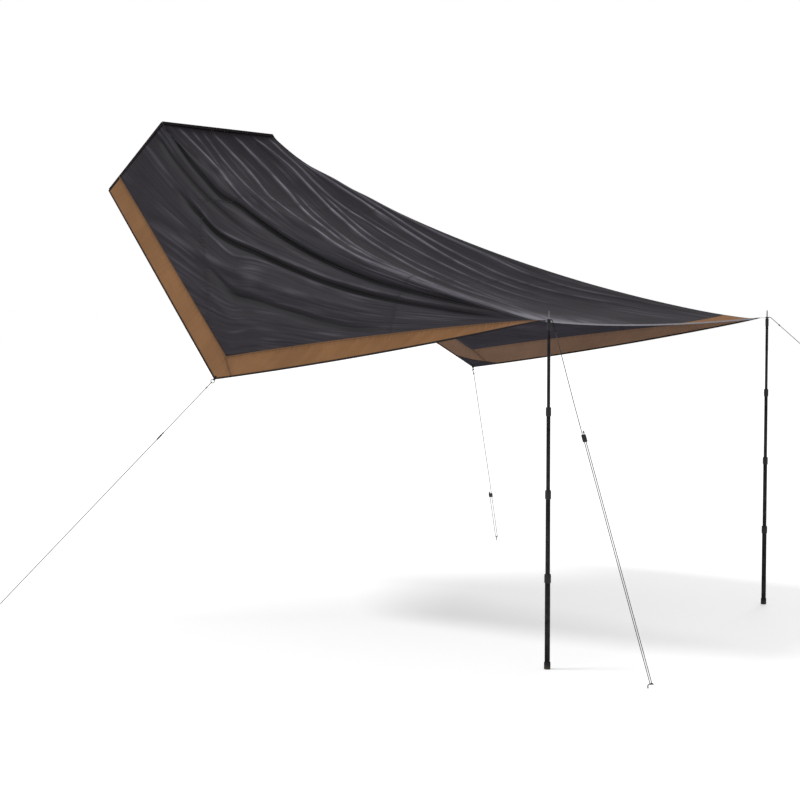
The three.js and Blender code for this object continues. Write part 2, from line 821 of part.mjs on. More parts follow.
for (const [name, sign] of [['near', -1], ['far', 1]]) {
  const wingLine = lineFrame(mirrored(cornerTip.clone(), name), `${name}Wing`);
  add(`${name}_wing_ring`, wingRing(wingLine), steel);
  add(`${name}_wing_hook`, wingHook(wingLine), blackPlastic);
  addLine(`${name}_wing`, wingLine, wingCordStart);

  const axis = point(poleOut, sign * poleHalf, loopRise - grommetDrop);
  const level = point(pegOut[`${name}Pole`], pegAcross[`${name}Pole`], axis.z).sub(axis).normalize();
  const poleLine = lineFrame(axis.clone().addScaledVector(level, loopTailReach), `${name}Pole`);
  add(`${name}_spigot_loop`, spigotLoop(poleLine, axis), darkTape);
  addLine(`${name}_pole`, poleLine, poleCordStart);
}

export default canopy;
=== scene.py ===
# %% [markdown]
# # A sun canopy on two poles
#
# A sheet of coated polyester is held by keder beads along its top and both its sides,
# is pulled out over two telescopic poles, and is pegged down by four guylines.
# The CAD model of the canopy is loaded first, as a fixed frame in metres: the origin is
# the middle of the top keder bead, +X runs out to the poles, and the ground is flat.
# Each step below dresses one part of it, and says what the real part is and why the
# way to make it was chosen.

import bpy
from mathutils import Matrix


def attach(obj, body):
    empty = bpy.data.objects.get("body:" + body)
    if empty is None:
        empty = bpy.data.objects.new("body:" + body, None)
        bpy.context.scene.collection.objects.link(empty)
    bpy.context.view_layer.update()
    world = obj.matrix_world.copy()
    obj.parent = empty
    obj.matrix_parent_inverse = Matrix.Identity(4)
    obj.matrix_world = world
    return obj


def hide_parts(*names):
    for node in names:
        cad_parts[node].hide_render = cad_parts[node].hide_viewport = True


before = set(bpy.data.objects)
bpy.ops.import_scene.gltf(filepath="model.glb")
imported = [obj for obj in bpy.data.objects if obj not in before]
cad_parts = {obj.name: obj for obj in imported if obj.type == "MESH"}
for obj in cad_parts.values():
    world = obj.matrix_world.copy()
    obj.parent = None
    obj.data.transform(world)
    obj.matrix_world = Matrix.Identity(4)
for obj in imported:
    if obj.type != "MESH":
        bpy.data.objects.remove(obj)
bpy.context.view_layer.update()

import math

import bpy
import numpy as np
from mathutils import Matrix

# %% [markdown]
# ## Camera
# The photograph is taken from about the height of the poles' tops, 12.7 m from the top
# bead, with a lens of about 74 mm on a full frame, turned 3 degrees down.

# %% Set up the camera
camera_data = bpy.data.cameras.new("camera")
camera_data.lens = 74.25
camera_data.sensor_width = 36
camera_data.clip_end = 200
camera = bpy.data.objects.new("camera", camera_data)
camera.location = (9.031, -8.870, -1.340)
camera.rotation_euler = (math.radians(90 - 3.252), 0, math.radians(39.331))
bpy.context.scene.collection.objects.link(camera)
bpy.context.scene.camera = camera
print("camera stands", round(camera.location.length, 1), "m from the top bead")

# %% [markdown]
# ## Sizes
# These are the CAD model's own sizes, in metres. Every sheet, tape and cord below is
# drawn from them, so that each piece lies where its CAD node does.

# %% Sizes of the pitched canopy
KEDER_CORNER = np.array([0.0, 0.585, 0.0])
KEDER_END = np.array([-0.595, 0.585, -0.465])
WING_CORNER = np.array([1.355, 1.390, -1.806])
POLE_TOP = np.array([3.892, 1.302, -1.418])
GROUND = -3.362
CLOTH_END = POLE_TOP - (0.057, 0, 0)
RIDGE_END = CLOTH_END - (0, 0.010, 0)
EDGE_END = CLOTH_END + (0, 0.010, 0)
BAND_WIDTH = 0.140
BINDING_WIDTH = 0.008
CORNER_SHARE = 0.24
LOWER_SAG = 0.020
NEAR_SAG, FAR_SAG, MEAN_SAG = 0.195, 0.232, 0.21
SIDES = {"near": -1, "far": 1}


def unit(v):
    """A vector, or each of many, at length 1."""
    return v / np.linalg.norm(v, axis=-1, keepdims=True)


def mix(a, b, share):
    """The point at that share of the way from a to b, for one share or for many."""
    return a + (b - a) * np.asarray(share)[..., None]


def mirrored(p, side):
    """A point of the far side, moved over to its side."""
    return p * (1, SIDES[side], 1)


def inner_corner():
    """Where the band's inner edges meet at the wing corner."""
    up, along = unit(KEDER_END - WING_CORNER), unit(EDGE_END - WING_CORNER)
    half = math.acos(up @ along) / 2
    return WING_CORNER + unit(up + along) * BAND_WIDTH / math.sin(half)


def inner_start():
    """Where the band's inner edge starts on the side bead."""
    up, along = unit(KEDER_CORNER - KEDER_END), unit(WING_CORNER - KEDER_END)
    return KEDER_END + up * BAND_WIDTH / math.sin(math.acos(up @ along))


BAND_CORNER, BAND_START = inner_corner(), inner_start()
CORNER_TIP = WING_CORNER + unit(WING_CORNER - BAND_CORNER) * BINDING_WIDTH
print("band's inner corner", BAND_CORNER.round(3), "wing corner's tip", CORNER_TIP.round(3))

# %% [markdown]
# ## Meshes from rows of points
# Cloth, tape and cord are drawn as rows of points that are joined into quads. A sheet
# is open at its sides, and a tape or cord closes round its section and at both ends.
# Its UV map is in metres, across and along, so that a weave keeps its real size.

# %% Helper for sheets, tapes and cords
def woven(name, rows, closed=False, thickness=None):
    """A mesh from rows of points, with a UV map in metres."""
    rows = np.asarray(rows, float)
    n, m = rows.shape[:2]
    columns = np.arange(m if closed else m - 1)
    i, j = np.meshgrid(np.arange(n - 1), columns, indexing="ij")
    k = (j + 1) % m
    faces = np.stack([i * m + j, (i + 1) * m + j, (i + 1) * m + k, i * m + k], -1).reshape(-1, 4)
    ends = [list(range(m)), list(range(n * m - 1, n * m - m - 1, -1))] if closed else []
    mesh = bpy.data.meshes.new(name)
    mesh.from_pydata(rows.reshape(-1, 3), [], faces.tolist() + ends)
    ring = np.concatenate([rows, rows[:, :1]], 1)
    across = np.linalg.norm(np.diff(ring, axis=1), axis=2).cumsum(1)
    across = np.concatenate([np.zeros((n, 1)), across], 1)
    along = np.linalg.norm(np.diff(ring, axis=0), axis=2).cumsum(0)
    along = np.concatenate([np.zeros((1, m + 1)), along], 0)
    across -= across[:, [m // 2]]
    corners = [(i, j), (i + 1, j), (i + 1, j + 1), (i, j + 1)]
    uv = np.stack([np.stack([across[c], along[c]], -1) for c in corners], -2).reshape(-1, 2)
    uv = np.concatenate([uv, np.zeros((sum(map(len, ends)), 2))])
    mesh.uv_layers.new(name="weave").data.foreach_set("uv", uv.astype(np.float32).ravel())
    piece = bpy.data.objects.new(name, mesh)
    bpy.context.scene.collection.objects.link(piece)
    mesh.polygons.foreach_set("use_smooth", np.ones(len(mesh.polygons), bool))
    if thickness:
        modified(piece, "SOLIDIFY", thickness=thickness, offset=0)
    return piece


def mapped(piece, name, u, v):
    """Give a piece a UV map from two values in metres at each of its points."""
    mesh = piece.data
    corners = np.empty(len(mesh.loops), np.int32)
    mesh.loops.foreach_get("vertex_index", corners)
    u, v = np.broadcast_arrays(u, v)
    uv = np.stack([u.ravel()[corners], v.ravel()[corners]], -1)
    layer = mesh.uv_layers.get(name) or mesh.uv_layers.new(name=name)
    layer.data.foreach_set("uv", uv.astype(np.float32).ravel())


def chosen(piece):
    """Make this piece the only one selected, and the active one."""
    bpy.ops.object.select_all(action="DESELECT")
    piece.select_set(True)
    bpy.context.view_layer.objects.active = piece


def modified(piece, kind, **settings):
    """Put a modifier on a piece and apply it."""
    chosen(piece)
    modifier = piece.modifiers.new(kind.lower(), kind)
    for key, value in settings.items():
        setattr(modifier, key, value)
    bpy.ops.object.modifier_apply(modifier=modifier.name)


def painted(piece, material):
    """Give a piece this finish and no other."""
    piece.data.materials.clear()
    piece.data.materials.append(material)


def rides(piece, body, material, slot, *nodes):
    """The piece gets its finish, moves with its body and stands for its CAD nodes."""
    painted(piece, material)
    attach(piece, body)
    if nodes:
        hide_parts(*nodes)
    return piece


# %% [markdown]
# ## Nodes for the finishes
# Every finish below is a Principled shader with a few pattern nodes. One helper adds a
# node with its settings and its links, and one turns a hex colour, as a paint chart
# gives it, into the linear values that a shader works in. The bands of a wave pattern
# lie pi / 10 metres apart at a scale of 1, or about pi / 7 if they are diagonal.

# %% Helpers for the finishes
def linear(hex_colour):
    """A colour written as sRGB hex, in linear values."""
    values = [int(hex_colour[k:k + 2], 16) / 255 for k in (1, 3, 5)]
    return [v / 12.92 if v < 0.04045 else ((v + 0.055) / 1.055) ** 2.4 for v in values] + [1]


def add(tree, kind, inputs=(), stops=(), **settings):
    """A node with its settings, its inputs by name or in order, and a colour ramp's stops."""
    node = tree.nodes.new("ShaderNode" + kind)
    for key, value in settings.items():
        setattr(node, key, value)
    for key, value in inputs.items() if isinstance(inputs, dict) else enumerate(inputs):
        if isinstance(value, bpy.types.NodeSocket):
            tree.links.new(value, node.inputs[key])
        else:
            node.inputs[key].default_value = value
    for k, (place, colour) in enumerate(stops):
        elements = node.color_ramp.elements
        element = elements[k] if k < len(elements) else elements.new(place)
        element.position = place
        element.color = colour
    return node


def finish(name, **sockets):
    """An empty material with its shader, whose plain values go on its own sockets."""
    material = bpy.data.materials.new(name)
    material.use_nodes = True
    tree = material.node_tree
    shader = tree.nodes["Principled BSDF"]
    for key, value in sockets.items():
        shader.inputs[key.replace("_", " ")].default_value = value
    return material, tree, shader


print("charcoal in linear values:", [round(v, 3) for v in linear("#37343B")[:3]])

# %% [markdown]
# ## Braided cord
# The guylines are 4 mm polyester cord, braided from charcoal yarn round a core. What
# shows is a fine diamond pattern of yarns with darker gaps. Two wave patterns on the
# cord's own UV map draw it, each with bands 4.3 mm apart, turned to either side.

# %% Finish of the cords
braided_cord, tree, shader = finish("braided_polyester_cord", Roughness=0.75, Sheen_Weight=0.3)
uv = add(tree, "UVMap", uv_map="weave").outputs["UV"]
CORD_SCALE = 0.5 / 0.0022 / math.pi
YARN_TURN = 0.9
yarns = []
for turn in (YARN_TURN, -YARN_TURN):
    turned_uv = add(tree, "Mapping", {"Vector": uv, "Rotation": (0, 0, turn)}).outputs["Vector"]
    wave = add(tree, "TexWave", {"Vector": turned_uv, "Scale": CORD_SCALE, "Distortion": 0.4})
    yarns.append(wave.outputs["Fac"])
crossing = add(tree, "Math", yarns, operation="MULTIPLY").outputs["Value"]
stops = [(0, linear("#0F0F10")), (0.35, linear("#1E1E20")), (1, linear("#343437"))]
colour = add(tree, "ValToRGB", [crossing], stops)
tree.links.new(colour.outputs["Color"], shader.inputs["Base Color"])
bump = add(tree, "Bump", {"Height": crossing, "Strength": 0.5, "Distance": 0.0004})
tree.links.new(bump.outputs["Normal"], shader.inputs["Normal"])
print("cord pattern has", len(yarns), "sets of bands, 4.3 mm apart")

# %% [markdown]
# ## Guylines
# Each cord is tied to its fitting, runs down through a slider, round its peg and back
# up to a stopper knot above the slider, so that the slider can tighten it. It is held
# taut at both ends and runs straight. Its length is that of the route: the picture
# shows two of the four cords down to their pegs, and the others run on to pegs placed
# the same way.

# %% Routes of the guylines
CORD = 0.004
STRAND = 0.008
# How far down its line each cord starts, below the hook or the loop that it is tied to
STARTS = {"wing": 0.0666, "pole": 0.0753}
SLIDER_HALF = 0.042
PEGS = {
    "near_wing": (0.270, -2.365), "far_wing": (0.677, 2.644),
    "near_pole": (4.586, -1.351), "far_pole": (5.614, 2.677),
}
SLIDER_SHARES = {"near_wing": 0.244, "far_wing": 0.734, "near_pole": 0.335, "far_pole": 0.335}
LOOP_CENTRE = POLE_TOP + (0, 0, 0.0044)


def line_frame(name):
    """A guyline's own axes: down it, level across its two strands, and out of their plane."""
    side, place = name.split("_")
    peg = np.array([*PEGS[name], GROUND + 0.030])
    if place == "wing":
        origin = mirrored(CORNER_TIP, side)
    else:
        axis = mirrored(LOOP_CENTRE, side)
        origin = axis + unit((peg - axis) * (1, 1, 0)) * 0.022
    reach = np.linalg.norm(peg - origin)
    down = (peg - origin) / reach
    across = unit(np.cross(down, (0, 0, 1)))
    return {"origin": origin, "down": down, "across": across, "out": np.cross(across, down),
            "reach": reach, "slider": reach * SLIDER_SHARES[name], "start": STARTS[place]}


def on_line(line, along, across=0, out=0):
    """The point so far down a guyline, across it, and out of its strands' plane."""
    return line["origin"] + line["down"] * along + line["across"] * across + line["out"] * out


def cord_route(line):
    """The middle of the cord, from its knot at the fitting to its stopper knot."""
    start, reach, slider = line["start"], line["reach"], line["slider"]
    straight, below = slider - 0.192, slider + SLIDER_HALF
    run = below + np.array([0.1, 0.25, 0.4, 0.55, 0.7, 0.85, 0.95]) * (reach - below)
    route = [on_line(line, start)]
    route += [on_line(line, start + k * (straight - start), k * STRAND) for k in (0.35, 0.7)]
    route += [on_line(line, along, STRAND) for along in (straight, slider - SLIDER_HALF, slider, *run)]
    route += [on_line(line, reach + STRAND * math.sin(a), STRAND * math.cos(a))
              for a in np.linspace(0, math.pi, 11)]
    route += [on_line(line, along, -STRAND) for along in (*run[::-1], slider, slider - 0.030)]
    return np.array(route)


def tube(name, route, radius, sides=10):
    """A round tube along a route, without twist."""
    ahead = unit(np.gradient(route, axis=0))
    out = unit(np.cross(ahead[0], (0.3, 0.5, 0.8)))
    rows = []
    angles = np.linspace(0, 2 * math.pi, sides, endpoint=False)
    for point, way in zip(route, ahead):
        out = unit(out - way * (out @ way))
        other = np.cross(way, out)
        rows.append([point + radius * (math.cos(a) * out + math.sin(a) * other) for a in angles])
    return woven(name, rows, closed=True)


def knot(name, line, along, across):
    """A cord's own knot: two and a half turns wound round it, with the ends tucked in."""
    turn = np.linspace(0, 5 * math.pi, 46)
    swell = 0.0024 + 0.0016 * np.sin(np.linspace(0, math.pi, 46))
    route = []
    for t, r in zip(turn, swell):
        down = along + (t / (5 * math.pi) - 0.5) * 0.013
        route.append(on_line(line, down, across + r * math.cos(t), r * math.sin(t)))
    return tube(name, np.array(route), CORD / 2 * 0.85, 8)


LINES = {name: line_frame(name) for name in PEGS}
ROUTES = {name: cord_route(line) for name, line in LINES.items()}
cords = {name: tube(name + "_cord", route, CORD / 2) for name, route in ROUTES.items()}
knots = {}
for name, cord in cords.items():
    rides(cord, "canopy", braided_cord, "grey_cord", name + "_guyline")
    line = LINES[name]
    knots[name] = [knot(name + "_top_knot", line, line["start"] + 0.006, 0),
                   knot(name + "_end_knot", line, line["slider"] - 0.034, -STRAND)]
    for piece in knots[name]:
        rides(piece, "canopy", braided_cord, "grey_cord")

# %% [markdown]
# ## Shape of the pitched cloth
# Two numbers name a place on the canopy: s runs from 0 at the beads to 1 at the poles,
# and q from -3 at the near free edge to 3 at the far one. Between -1 and 1 it is the
# roof, out to 2 the dark wings, and out to 3 the tan bands. The two ridges, where roof
# and wings meet, hang in a slack curve, the roof dips between them, and the cloth turns
# over each ridge in a soft round. The CAD model's solids are drawn from the same
# curves. The roof alone is drawn up to 40 mm flatter behind its front edge, as the
# photograph shows its upper side there.

# %% Ridges, seams and free edges
def ridge(s, sag):
    """The slack line from the beads' corner to the pole, on which roof and wing meet."""
    p = mix(KEDER_CORNER, RIDGE_END, s)
    p[..., 2] -= sag * np.maximum(4 * s * (1 - s), 0) ** 0.62 * (1 - 0.4 * s ** 4)
    return p


def border(s, start, corner, end, sag):
    """A line along the keder's end, down to the wing corner and on to the pole."""
    k = np.clip((s - CORNER_SHARE) / (1 - CORNER_SHARE), 0, 1)
    front = mix(corner, end, k)
    front[..., 2] -= sag * 4 * k * (1 - k)
    side = mix(start, corner, np.minimum(s / CORNER_SHARE, 1))
    return np.where((s <= CORNER_SHARE)[..., None], side, front)


def free_edge(s):
    """The wing's outer edge, where its tan band ends."""
    return border(s, KEDER_END, WING_CORNER, EDGE_END, LOWER_SAG)


def band_seam(s):
    """The line on which the tan band meets the dark cloth."""
    return border(s, BAND_START, BAND_CORNER, CLOTH_END, -LOWER_SAG)


def rise(x, start, end):
    """0 before start, 1 after end, and a smooth rise between."""
    t = np.clip((x - start) / (end - start), 0, 1)
    return t * t * (3 - 2 * t)


def plain_cloth(s, q):
    """The cloth's shape before its ridges are rounded and it is creased."""
    s, q = np.broadcast_arrays(np.asarray(s, float), np.asarray(q, float))
    near, far = ridge(s, NEAR_SAG), ridge(s, FAR_SAG)
    roof = far.copy()
    roof[..., 1] *= q
    roof[..., 2] = near[..., 2] + (far[..., 2] - near[..., 2]) * (q + 1) / 2
    flatter = 0.5 + 0.9 * rise(s, 0.5, 1)
    dip = 0.120 * np.maximum(4 * s * (1 - s), 0) ** flatter + 0.035 * s ** 6
    roof[..., 2] -= dip * (1 - q * q)
    roof[..., 0] -= 0.100 * s ** 4 * (1 - q * q)
    size = np.abs(q)
    seam, edge = band_seam(s), free_edge(s)
    wing = mix(np.where((q < 0)[..., None], near, far), seam, np.clip(size - 1, 0, 1))
    band = mix(seam, edge, np.clip(size - 2, 0, 1))
    beyond = edge + unit(edge - seam) * (np.maximum(size - 3, 0) * BINDING_WIDTH)[..., None]
    side = np.where((size <= 2)[..., None], wing, np.where((size <= 3)[..., None], band, beyond))
    side = side * np.stack([np.ones_like(q), np.where(q < 0, -1.0, 1.0), np.ones_like(q)], -1)
    return np.where((size <= 1)[..., None], roof, side)


def rounded_cloth(s, q):
    """The cloth's shape with both ridges turned over in a soft round."""
    s, q = np.broadcast_arrays(np.asarray(s, float), np.asarray(q, float))
    share = 0.1 * rise(s, 0, 0.1)
    size, sign = np.abs(q), np.sign(q)
    inside = (share > 1e-9) & (np.abs(size - 1) < share)
    k = (size - 1 + share) / (2 * np.maximum(share, 1e-9))
    a, b, c = (plain_cloth(s, sign * (1 + d)) for d in (-share, 0 * share, share))
    bent = mix(mix(a, b, k), mix(b, c, k), k)
    return np.where(inside[..., None], bent, plain_cloth(s, q))


def facing(s, q):
    """The direction that the cloth faces, up and out."""
    ahead = rounded_cloth(np.minimum(s + 0.005, 1), q) - rounded_cloth(np.maximum(s - 0.005, 0), q)
    across = rounded_cloth(s, q + 0.02) - rounded_cloth(s, q - 0.02)
    return unit(np.cross(ahead, across))


print("lowest point of the roof", rounded_cloth(np.linspace(0, 1, 50), 0.0)[:, 2].min().round(3), "m")

# %% [markdown]
# ## Folds
# The slack cloth hangs in folds. They start side by side along the top bead, which
# gathers them, and each rises to a narrow light line between broad dark hollows; the
# light line is a painted highlight on top of the fold's shape. They run slantwise over
# the near ridge and on down the near wing towards its pole, and on the far side they
# close up towards the far pole. The wing has a few deep creases with soft lips, and
# these carry painted shade along them. Each fold is a smooth curve through places on
# the cloth. It lifts the cloth by a bump that is sharp on the line, steep on its near
# side and fades on its far one. Beside the near pole the roof gets a broad painted
# sheen as well.

# %% Lines of the folds
STATIONS = np.array([0, 0.05, 0.1, 0.15, 0.2, 0.25, 0.3, 0.4, 0.5, 0.6, 0.7, 0.8, 1])
# Height and width in mm, where along s it starts and ends, and its q at the stations.
# The places of the long folds and of the first two short ones were worked out by other
# programs from lines traced by hand in the photograph, and some then changed by hand.
LONG_FOLDS = [
    (6, 22, 0.20, 0.85, (-1.607, -1.552, -1.507, -1.474, -1.447, -1.42, -1.405,
                         -1.415, -1.46, -1.50, -1.512, -1.518, -1.488)),
    (-26, 26, 0.13, 0.99, (-1.48, -1.453, -1.43, -1.411, -1.397, -1.352, -1.357,
                           -1.388, -1.425, -1.453, -1.468, -1.455, -1.383)),
    (7, 26, 0.16, 0.85, (-1.378, -1.364, -1.358, -1.361, -1.364, -1.32, -1.325,
                         -1.348, -1.375, -1.387, -1.387, -1.365, -1.255)),
    (-15, 24, 0.00, 0.33, (-1.178, -1.208, -1.232, -1.24, -1.235, -1.235, -1.258,
                           -1.274, -1.293, -1.304, -1.295, -1.274, -1.174)),
    (-27, 26, 0.02, 0.96, (-0.985, -1.020, -1.085, -1.122, -1.140, -1.115, -1.135,
                           -1.185, -1.223, -1.248, -1.235, -1.186, -1.126)),
    (15, 30, 0.00, 0.40, (-0.745, -0.735, -0.779, -0.879, -0.976, -1.039, -1.08,
                          -1.12, -1.145, -1.16, -1.15, -1.13, -1.08)),
    (8, 22, 0.00, 0.20, (-0.51, -0.549, -0.662, -0.80, -0.90, -0.97, -1.02,
                         -1.08, -1.111, -1.125, -1.116, -1.10, -1.06)),
    (10, 26, 0.00, 0.42, (-0.314, -0.392, -0.49, -0.60, -0.714, -0.828, -0.924,
                          -1.03, -1.072, -1.09, -1.087, -1.08, -1.04)),
    (18, 32, 0.00, 0.93, (-0.156, -0.145, -0.196, -0.309, -0.457, -0.59, -0.663,
                          -0.843, -0.992, -1.05, -1.054, -1.055, -1.02)),
    (20, 34, 0.00, 0.97, (0.223, 0.228, 0.162, 0.058, -0.061, -0.218, -0.349,
                          -0.554, -0.799, -0.969, -1.01, -1.02, -1.0)),
    (12, 26, 0.22, 0.93, (0.36, 0.36, 0.30, 0.18, 0.06, -0.085, -0.196,
                          -0.404, -0.588, -0.682, -0.739, -0.80, -0.92)),
    (19, 32, 0.00, 0.92, (0.571, 0.634, 0.588, 0.476, 0.348, 0.224, 0.117,
                          -0.099, -0.235, -0.361, -0.43, -0.475, -0.70)),
    (12, 26, 0.22, 0.82, (0.72, 0.72, 0.66, 0.55, 0.44, 0.334, 0.224,
                          0.049, -0.061, -0.117, -0.215, -0.30, -0.45)),
    (13, 28, 0.00, 0.86, (0.87, 0.819, 0.733, 0.617, 0.514, 0.44, 0.405,
                          0.315, 0.243, 0.171, 0.137, 0.166, 0.20)),
    (16, 28, 0.10, 0.78, (0.93, 0.909, 0.886, 0.857, 0.817, 0.768, 0.706,
                          0.568, 0.435, 0.35, 0.34, 0.40, 0.50)),
    (14, 22, 0.14, 0.90, (0.965, 0.96, 0.95, 0.933, 0.902, 0.857, 0.803,
                          0.686, 0.592, 0.529, 0.543, 0.647, 0.75)),
    (10, 20, 0.22, 0.96, (0.985, 0.982, 0.975, 0.965, 0.948, 0.928, 0.907,
                          0.866, 0.835, 0.751, 0.76, 0.839, 0.90)),
]
SHORT_FOLDS = [
    (-16, 30, 0.24, 0.72, (-2.395, -2.165, -1.965, -1.787, -1.682, -1.650, -1.660,
                           -1.714, -1.80, -1.887, -1.953, -1.973, -1.973)),
    (10, 50, 0.05, 0.62, (-2.218, -2.0, -1.845, -1.703, -1.583, -1.505, -1.527,
                          -1.57, -1.605, -1.645, -1.68, -1.70, -1.72)),
    (-9, 30, 0.03, 0.20, (-2.12, -1.98, -1.782, -1.63, -1.54, -1.50, -1.49,
                          -1.49, -1.50, -1.52, -1.55, -1.60, -1.60)),
    (-8, 26, 0.09, 0.20, (-2.3, -2.14, -1.985, -1.83, -1.72, -1.66, -1.65,
                          -1.65, -1.66, -1.70, -1.75, -1.80, -1.80)),
    (-8, 26, 0.20, 0.42, (-2.1, -1.98, -1.87, -1.75, -1.655, -1.63, -1.66,
                          -1.725, -1.79, -1.84, -1.88, -1.90, -1.90)),
    (4, 34, 0.22, 0.58, (-2.1, -1.95, -1.83, -1.715, -1.625, -1.592, -1.612,
                         -1.672, -1.75, -1.83, -1.88, -1.90, -1.90)),
    (5, 34, 0.20, 0.42, (-2.2, -2.1, -2.0, -1.90, -1.80, -1.77, -1.81,
                         -1.90, -1.99, -2.05, -2.1, -2.1, -2.1)),
    (6, 24, 0.24, 0.60, (-1.03, -1.05, -1.06, -1.07, -1.08, -1.09, -1.112,
                         -1.15, -1.183, -1.19, -1.19, -1.16, -1.10)),
    (-16, 36, 0.06, 0.95, (1.15, 1.16, 1.17, 1.18, 1.19, 1.20, 1.21,
                           1.22, 1.23, 1.24, 1.24, 1.22, 1.15)),
    (14, 30, 0.10, 0.90, (1.30, 1.30, 1.31, 1.32, 1.34, 1.36, 1.38,
                          1.40, 1.42, 1.43, 1.42, 1.38, 1.28)),
    (-18, 36, 0.06, 0.85, (1.62, 1.56, 1.52, 1.50, 1.50, 1.50, 1.52,
                           1.55, 1.59, 1.62, 1.62, 1.58, 1.45)),
    (13, 28, 0.20, 0.75, (1.95, 1.85, 1.75, 1.68, 1.64, 1.62, 1.65,
                          1.70, 1.74, 1.77, 1.78, 1.78, 1.70)),
    (-14, 30, 0.12, 0.60, (2.1, 2.0, 1.92, 1.86, 1.80, 1.78, 1.80,
                           1.84, 1.88, 1.90, 1.92, 1.92, 1.90)),
]


def smooth_curve(x, y, at):
    """A smooth curve through the rows y at the places x."""
    slope = np.gradient(y, x, axis=0)
    k = np.clip(np.searchsorted(x, at, side="right") - 1, 0, len(x) - 2)
    h = (x[k + 1] - x[k])[:, None]
    t = (at - x[k])[:, None] / h
    return ((1 + 2 * t) * (1 - t) ** 2 * y[k] + t * (1 - t) ** 2 * h * slope[k]
            + t * t * (3 - 2 * t) * y[k + 1] + t * t * (t - 1) * h * slope[k + 1])


def fold_line(line):
    """Where a fold runs: the s and q of points on a smooth curve through its places."""
    places = rounded_cloth(STATIONS, np.array(line))
    length = np.concatenate([[0], np.linalg.norm(np.diff(places, axis=0), axis=1).cumsum()])
    at = np.linspace(0, length[-1], 200)
    curve = smooth_curve(length, places, at)
    s, q = np.interp(at, length, STATIONS), np.interp(at, length, line)
    for _ in range(6):
        here = rounded_cloth(s, q)
        a = (rounded_cloth(s + 0.002, q) - here) / 0.002
        b = (rounded_cloth(s, q + 0.002) - here) / 0.002
        aa, ab, bb = (a * a).sum(1), (a * b).sum(1), (b * b).sum(1)
        ra, rb = ((curve - here) * a).sum(1), ((curve - here) * b).sum(1)
        flat = np.maximum(aa * bb - ab * ab, 1e-9)
        s = np.clip(s + 0.8 * (bb * ra - ab * rb) / flat, 0, 0.998)
        q = np.clip(q + 0.8 * (aa * rb - ab * ra) / flat, -2.5, 2.5)
    s = np.maximum.accumulate(s)
    return s, q


FOLDS = [(*fold[:4], fold_line(fold[4])) for fold in LONG_FOLDS + SHORT_FOLDS]


def across_scale(s, q):
    """Metres of cloth to one step of q, on the roof and on the wings."""
    roof = 0.585 + 0.717 * s
    wing = np.linalg.norm(band_seam(s) - ridge(s, MEAN_SAG), axis=-1)
    return np.where(np.abs(q) < 1, roof, wing + 0.05)


def near_pole_sheen(s, q):
    """How much painted sheen, a painted highlight, the roof gets where it is pulled tight beside the near
    pole and along the hem there.
    """
    corner = rise(s, 0.70, 0.95) * np.exp(-((q + 0.82) / 0.24) ** 2) * rise(q, -1.02, -0.95)
    hem = rise(s, 0.86, 0.98) * np.exp(-((q + 0.65) / 0.40) ** 2) * rise(q, -1.02, -0.95)
    return 0.6 * corner + 0.5 * hem


def folded(s, q):
    """How far the folds lift the cloth in metres, and how much painted highlight (above 0) or painted shade
    (below 0) each point gets along the folds and creases, with the painted sheen beside the near pole.
    """
    s, q = np.broadcast_arrays(np.asarray(s, float), np.asarray(q, float))
    total, painted_shading = np.zeros_like(q), np.zeros_like(q)
    scale = across_scale(s, q)
    for k, (height, width, start, end, (at, line)) in enumerate(FOLDS):
        away = (q - np.interp(s, at, line)) * scale
        ends = rise(s, start - 0.05, start + 0.02) if start > 0 else 1.0
        ends = ends * (1 - rise(s, end - 0.18, end + 0.02))
        spread = np.where(away > 0, 1.3, 0.75) * width / 1000
        soft, narrow, bright = (0.004, 0.011, 23) if k < len(LONG_FOLDS) else (0.014, 0.024, 75)
        if height < 0:
            narrow, bright = 0.022, 18
        total += height / 1000 * ends * np.exp((soft - np.sqrt(away ** 2 + soft ** 2)) / spread)
        # painted highlight along each fold's line, or painted shade along a crease where the height is
        # below 0
        painted_shading += height / bright * ends * np.exp(-(away / narrow) ** 2)
    held = rise(s, 0, 0.025) * (1 - rise(s, 0.95, 1)) * (1 - rise(np.abs(q), 1.85, 2))
    painted_shading = painted_shading * held * (1 - 0.45 * rise(s, 0.5, 0.75))
    return total * held, painted_shading + near_pole_sheen(s, q)


def cloth_point(s, q, out=0.0):
    """A point of the creased cloth, moved out of its surface by out metres."""
    s, q = np.broadcast_arrays(np.asarray(s, float), np.asarray(q, float))
    return rounded_cloth(s, q) + facing(s, q) * (folded(s, q)[0] + out)[..., None]


print(len(LONG_FOLDS), "long folds and", len(SHORT_FOLDS), "short ones")

# %% [markdown]
# ## Coated polyester
# The canopy is 600 denier polyester oxford, woven from filament yarn and coated with
# polyurethane underneath. It is matt with a faint sheen, and fine wrinkles run along its
# folds. Painted highlights lie along the folds' crests, lighter in some places than
# others and with painted highlight streaks in patches, and painted shade lies along the
# creases; the fine wrinkles get painted light and shade, and the puckers painted shade.
# The weave is drawn in bands 2 mm apart, too fine to show from 12 m, so thicker yarns
# are drawn every 8 mm as well. The coating makes the cloth's lower side a little greyer,
# and there the painted light and shade is turned round. Lapped seams join its panels,
# with two rows of stitches and puckers where the thread draws in.

# %% Finish of the cloth
WEAVE_SCALE = 0.5 / 0.001 / math.pi


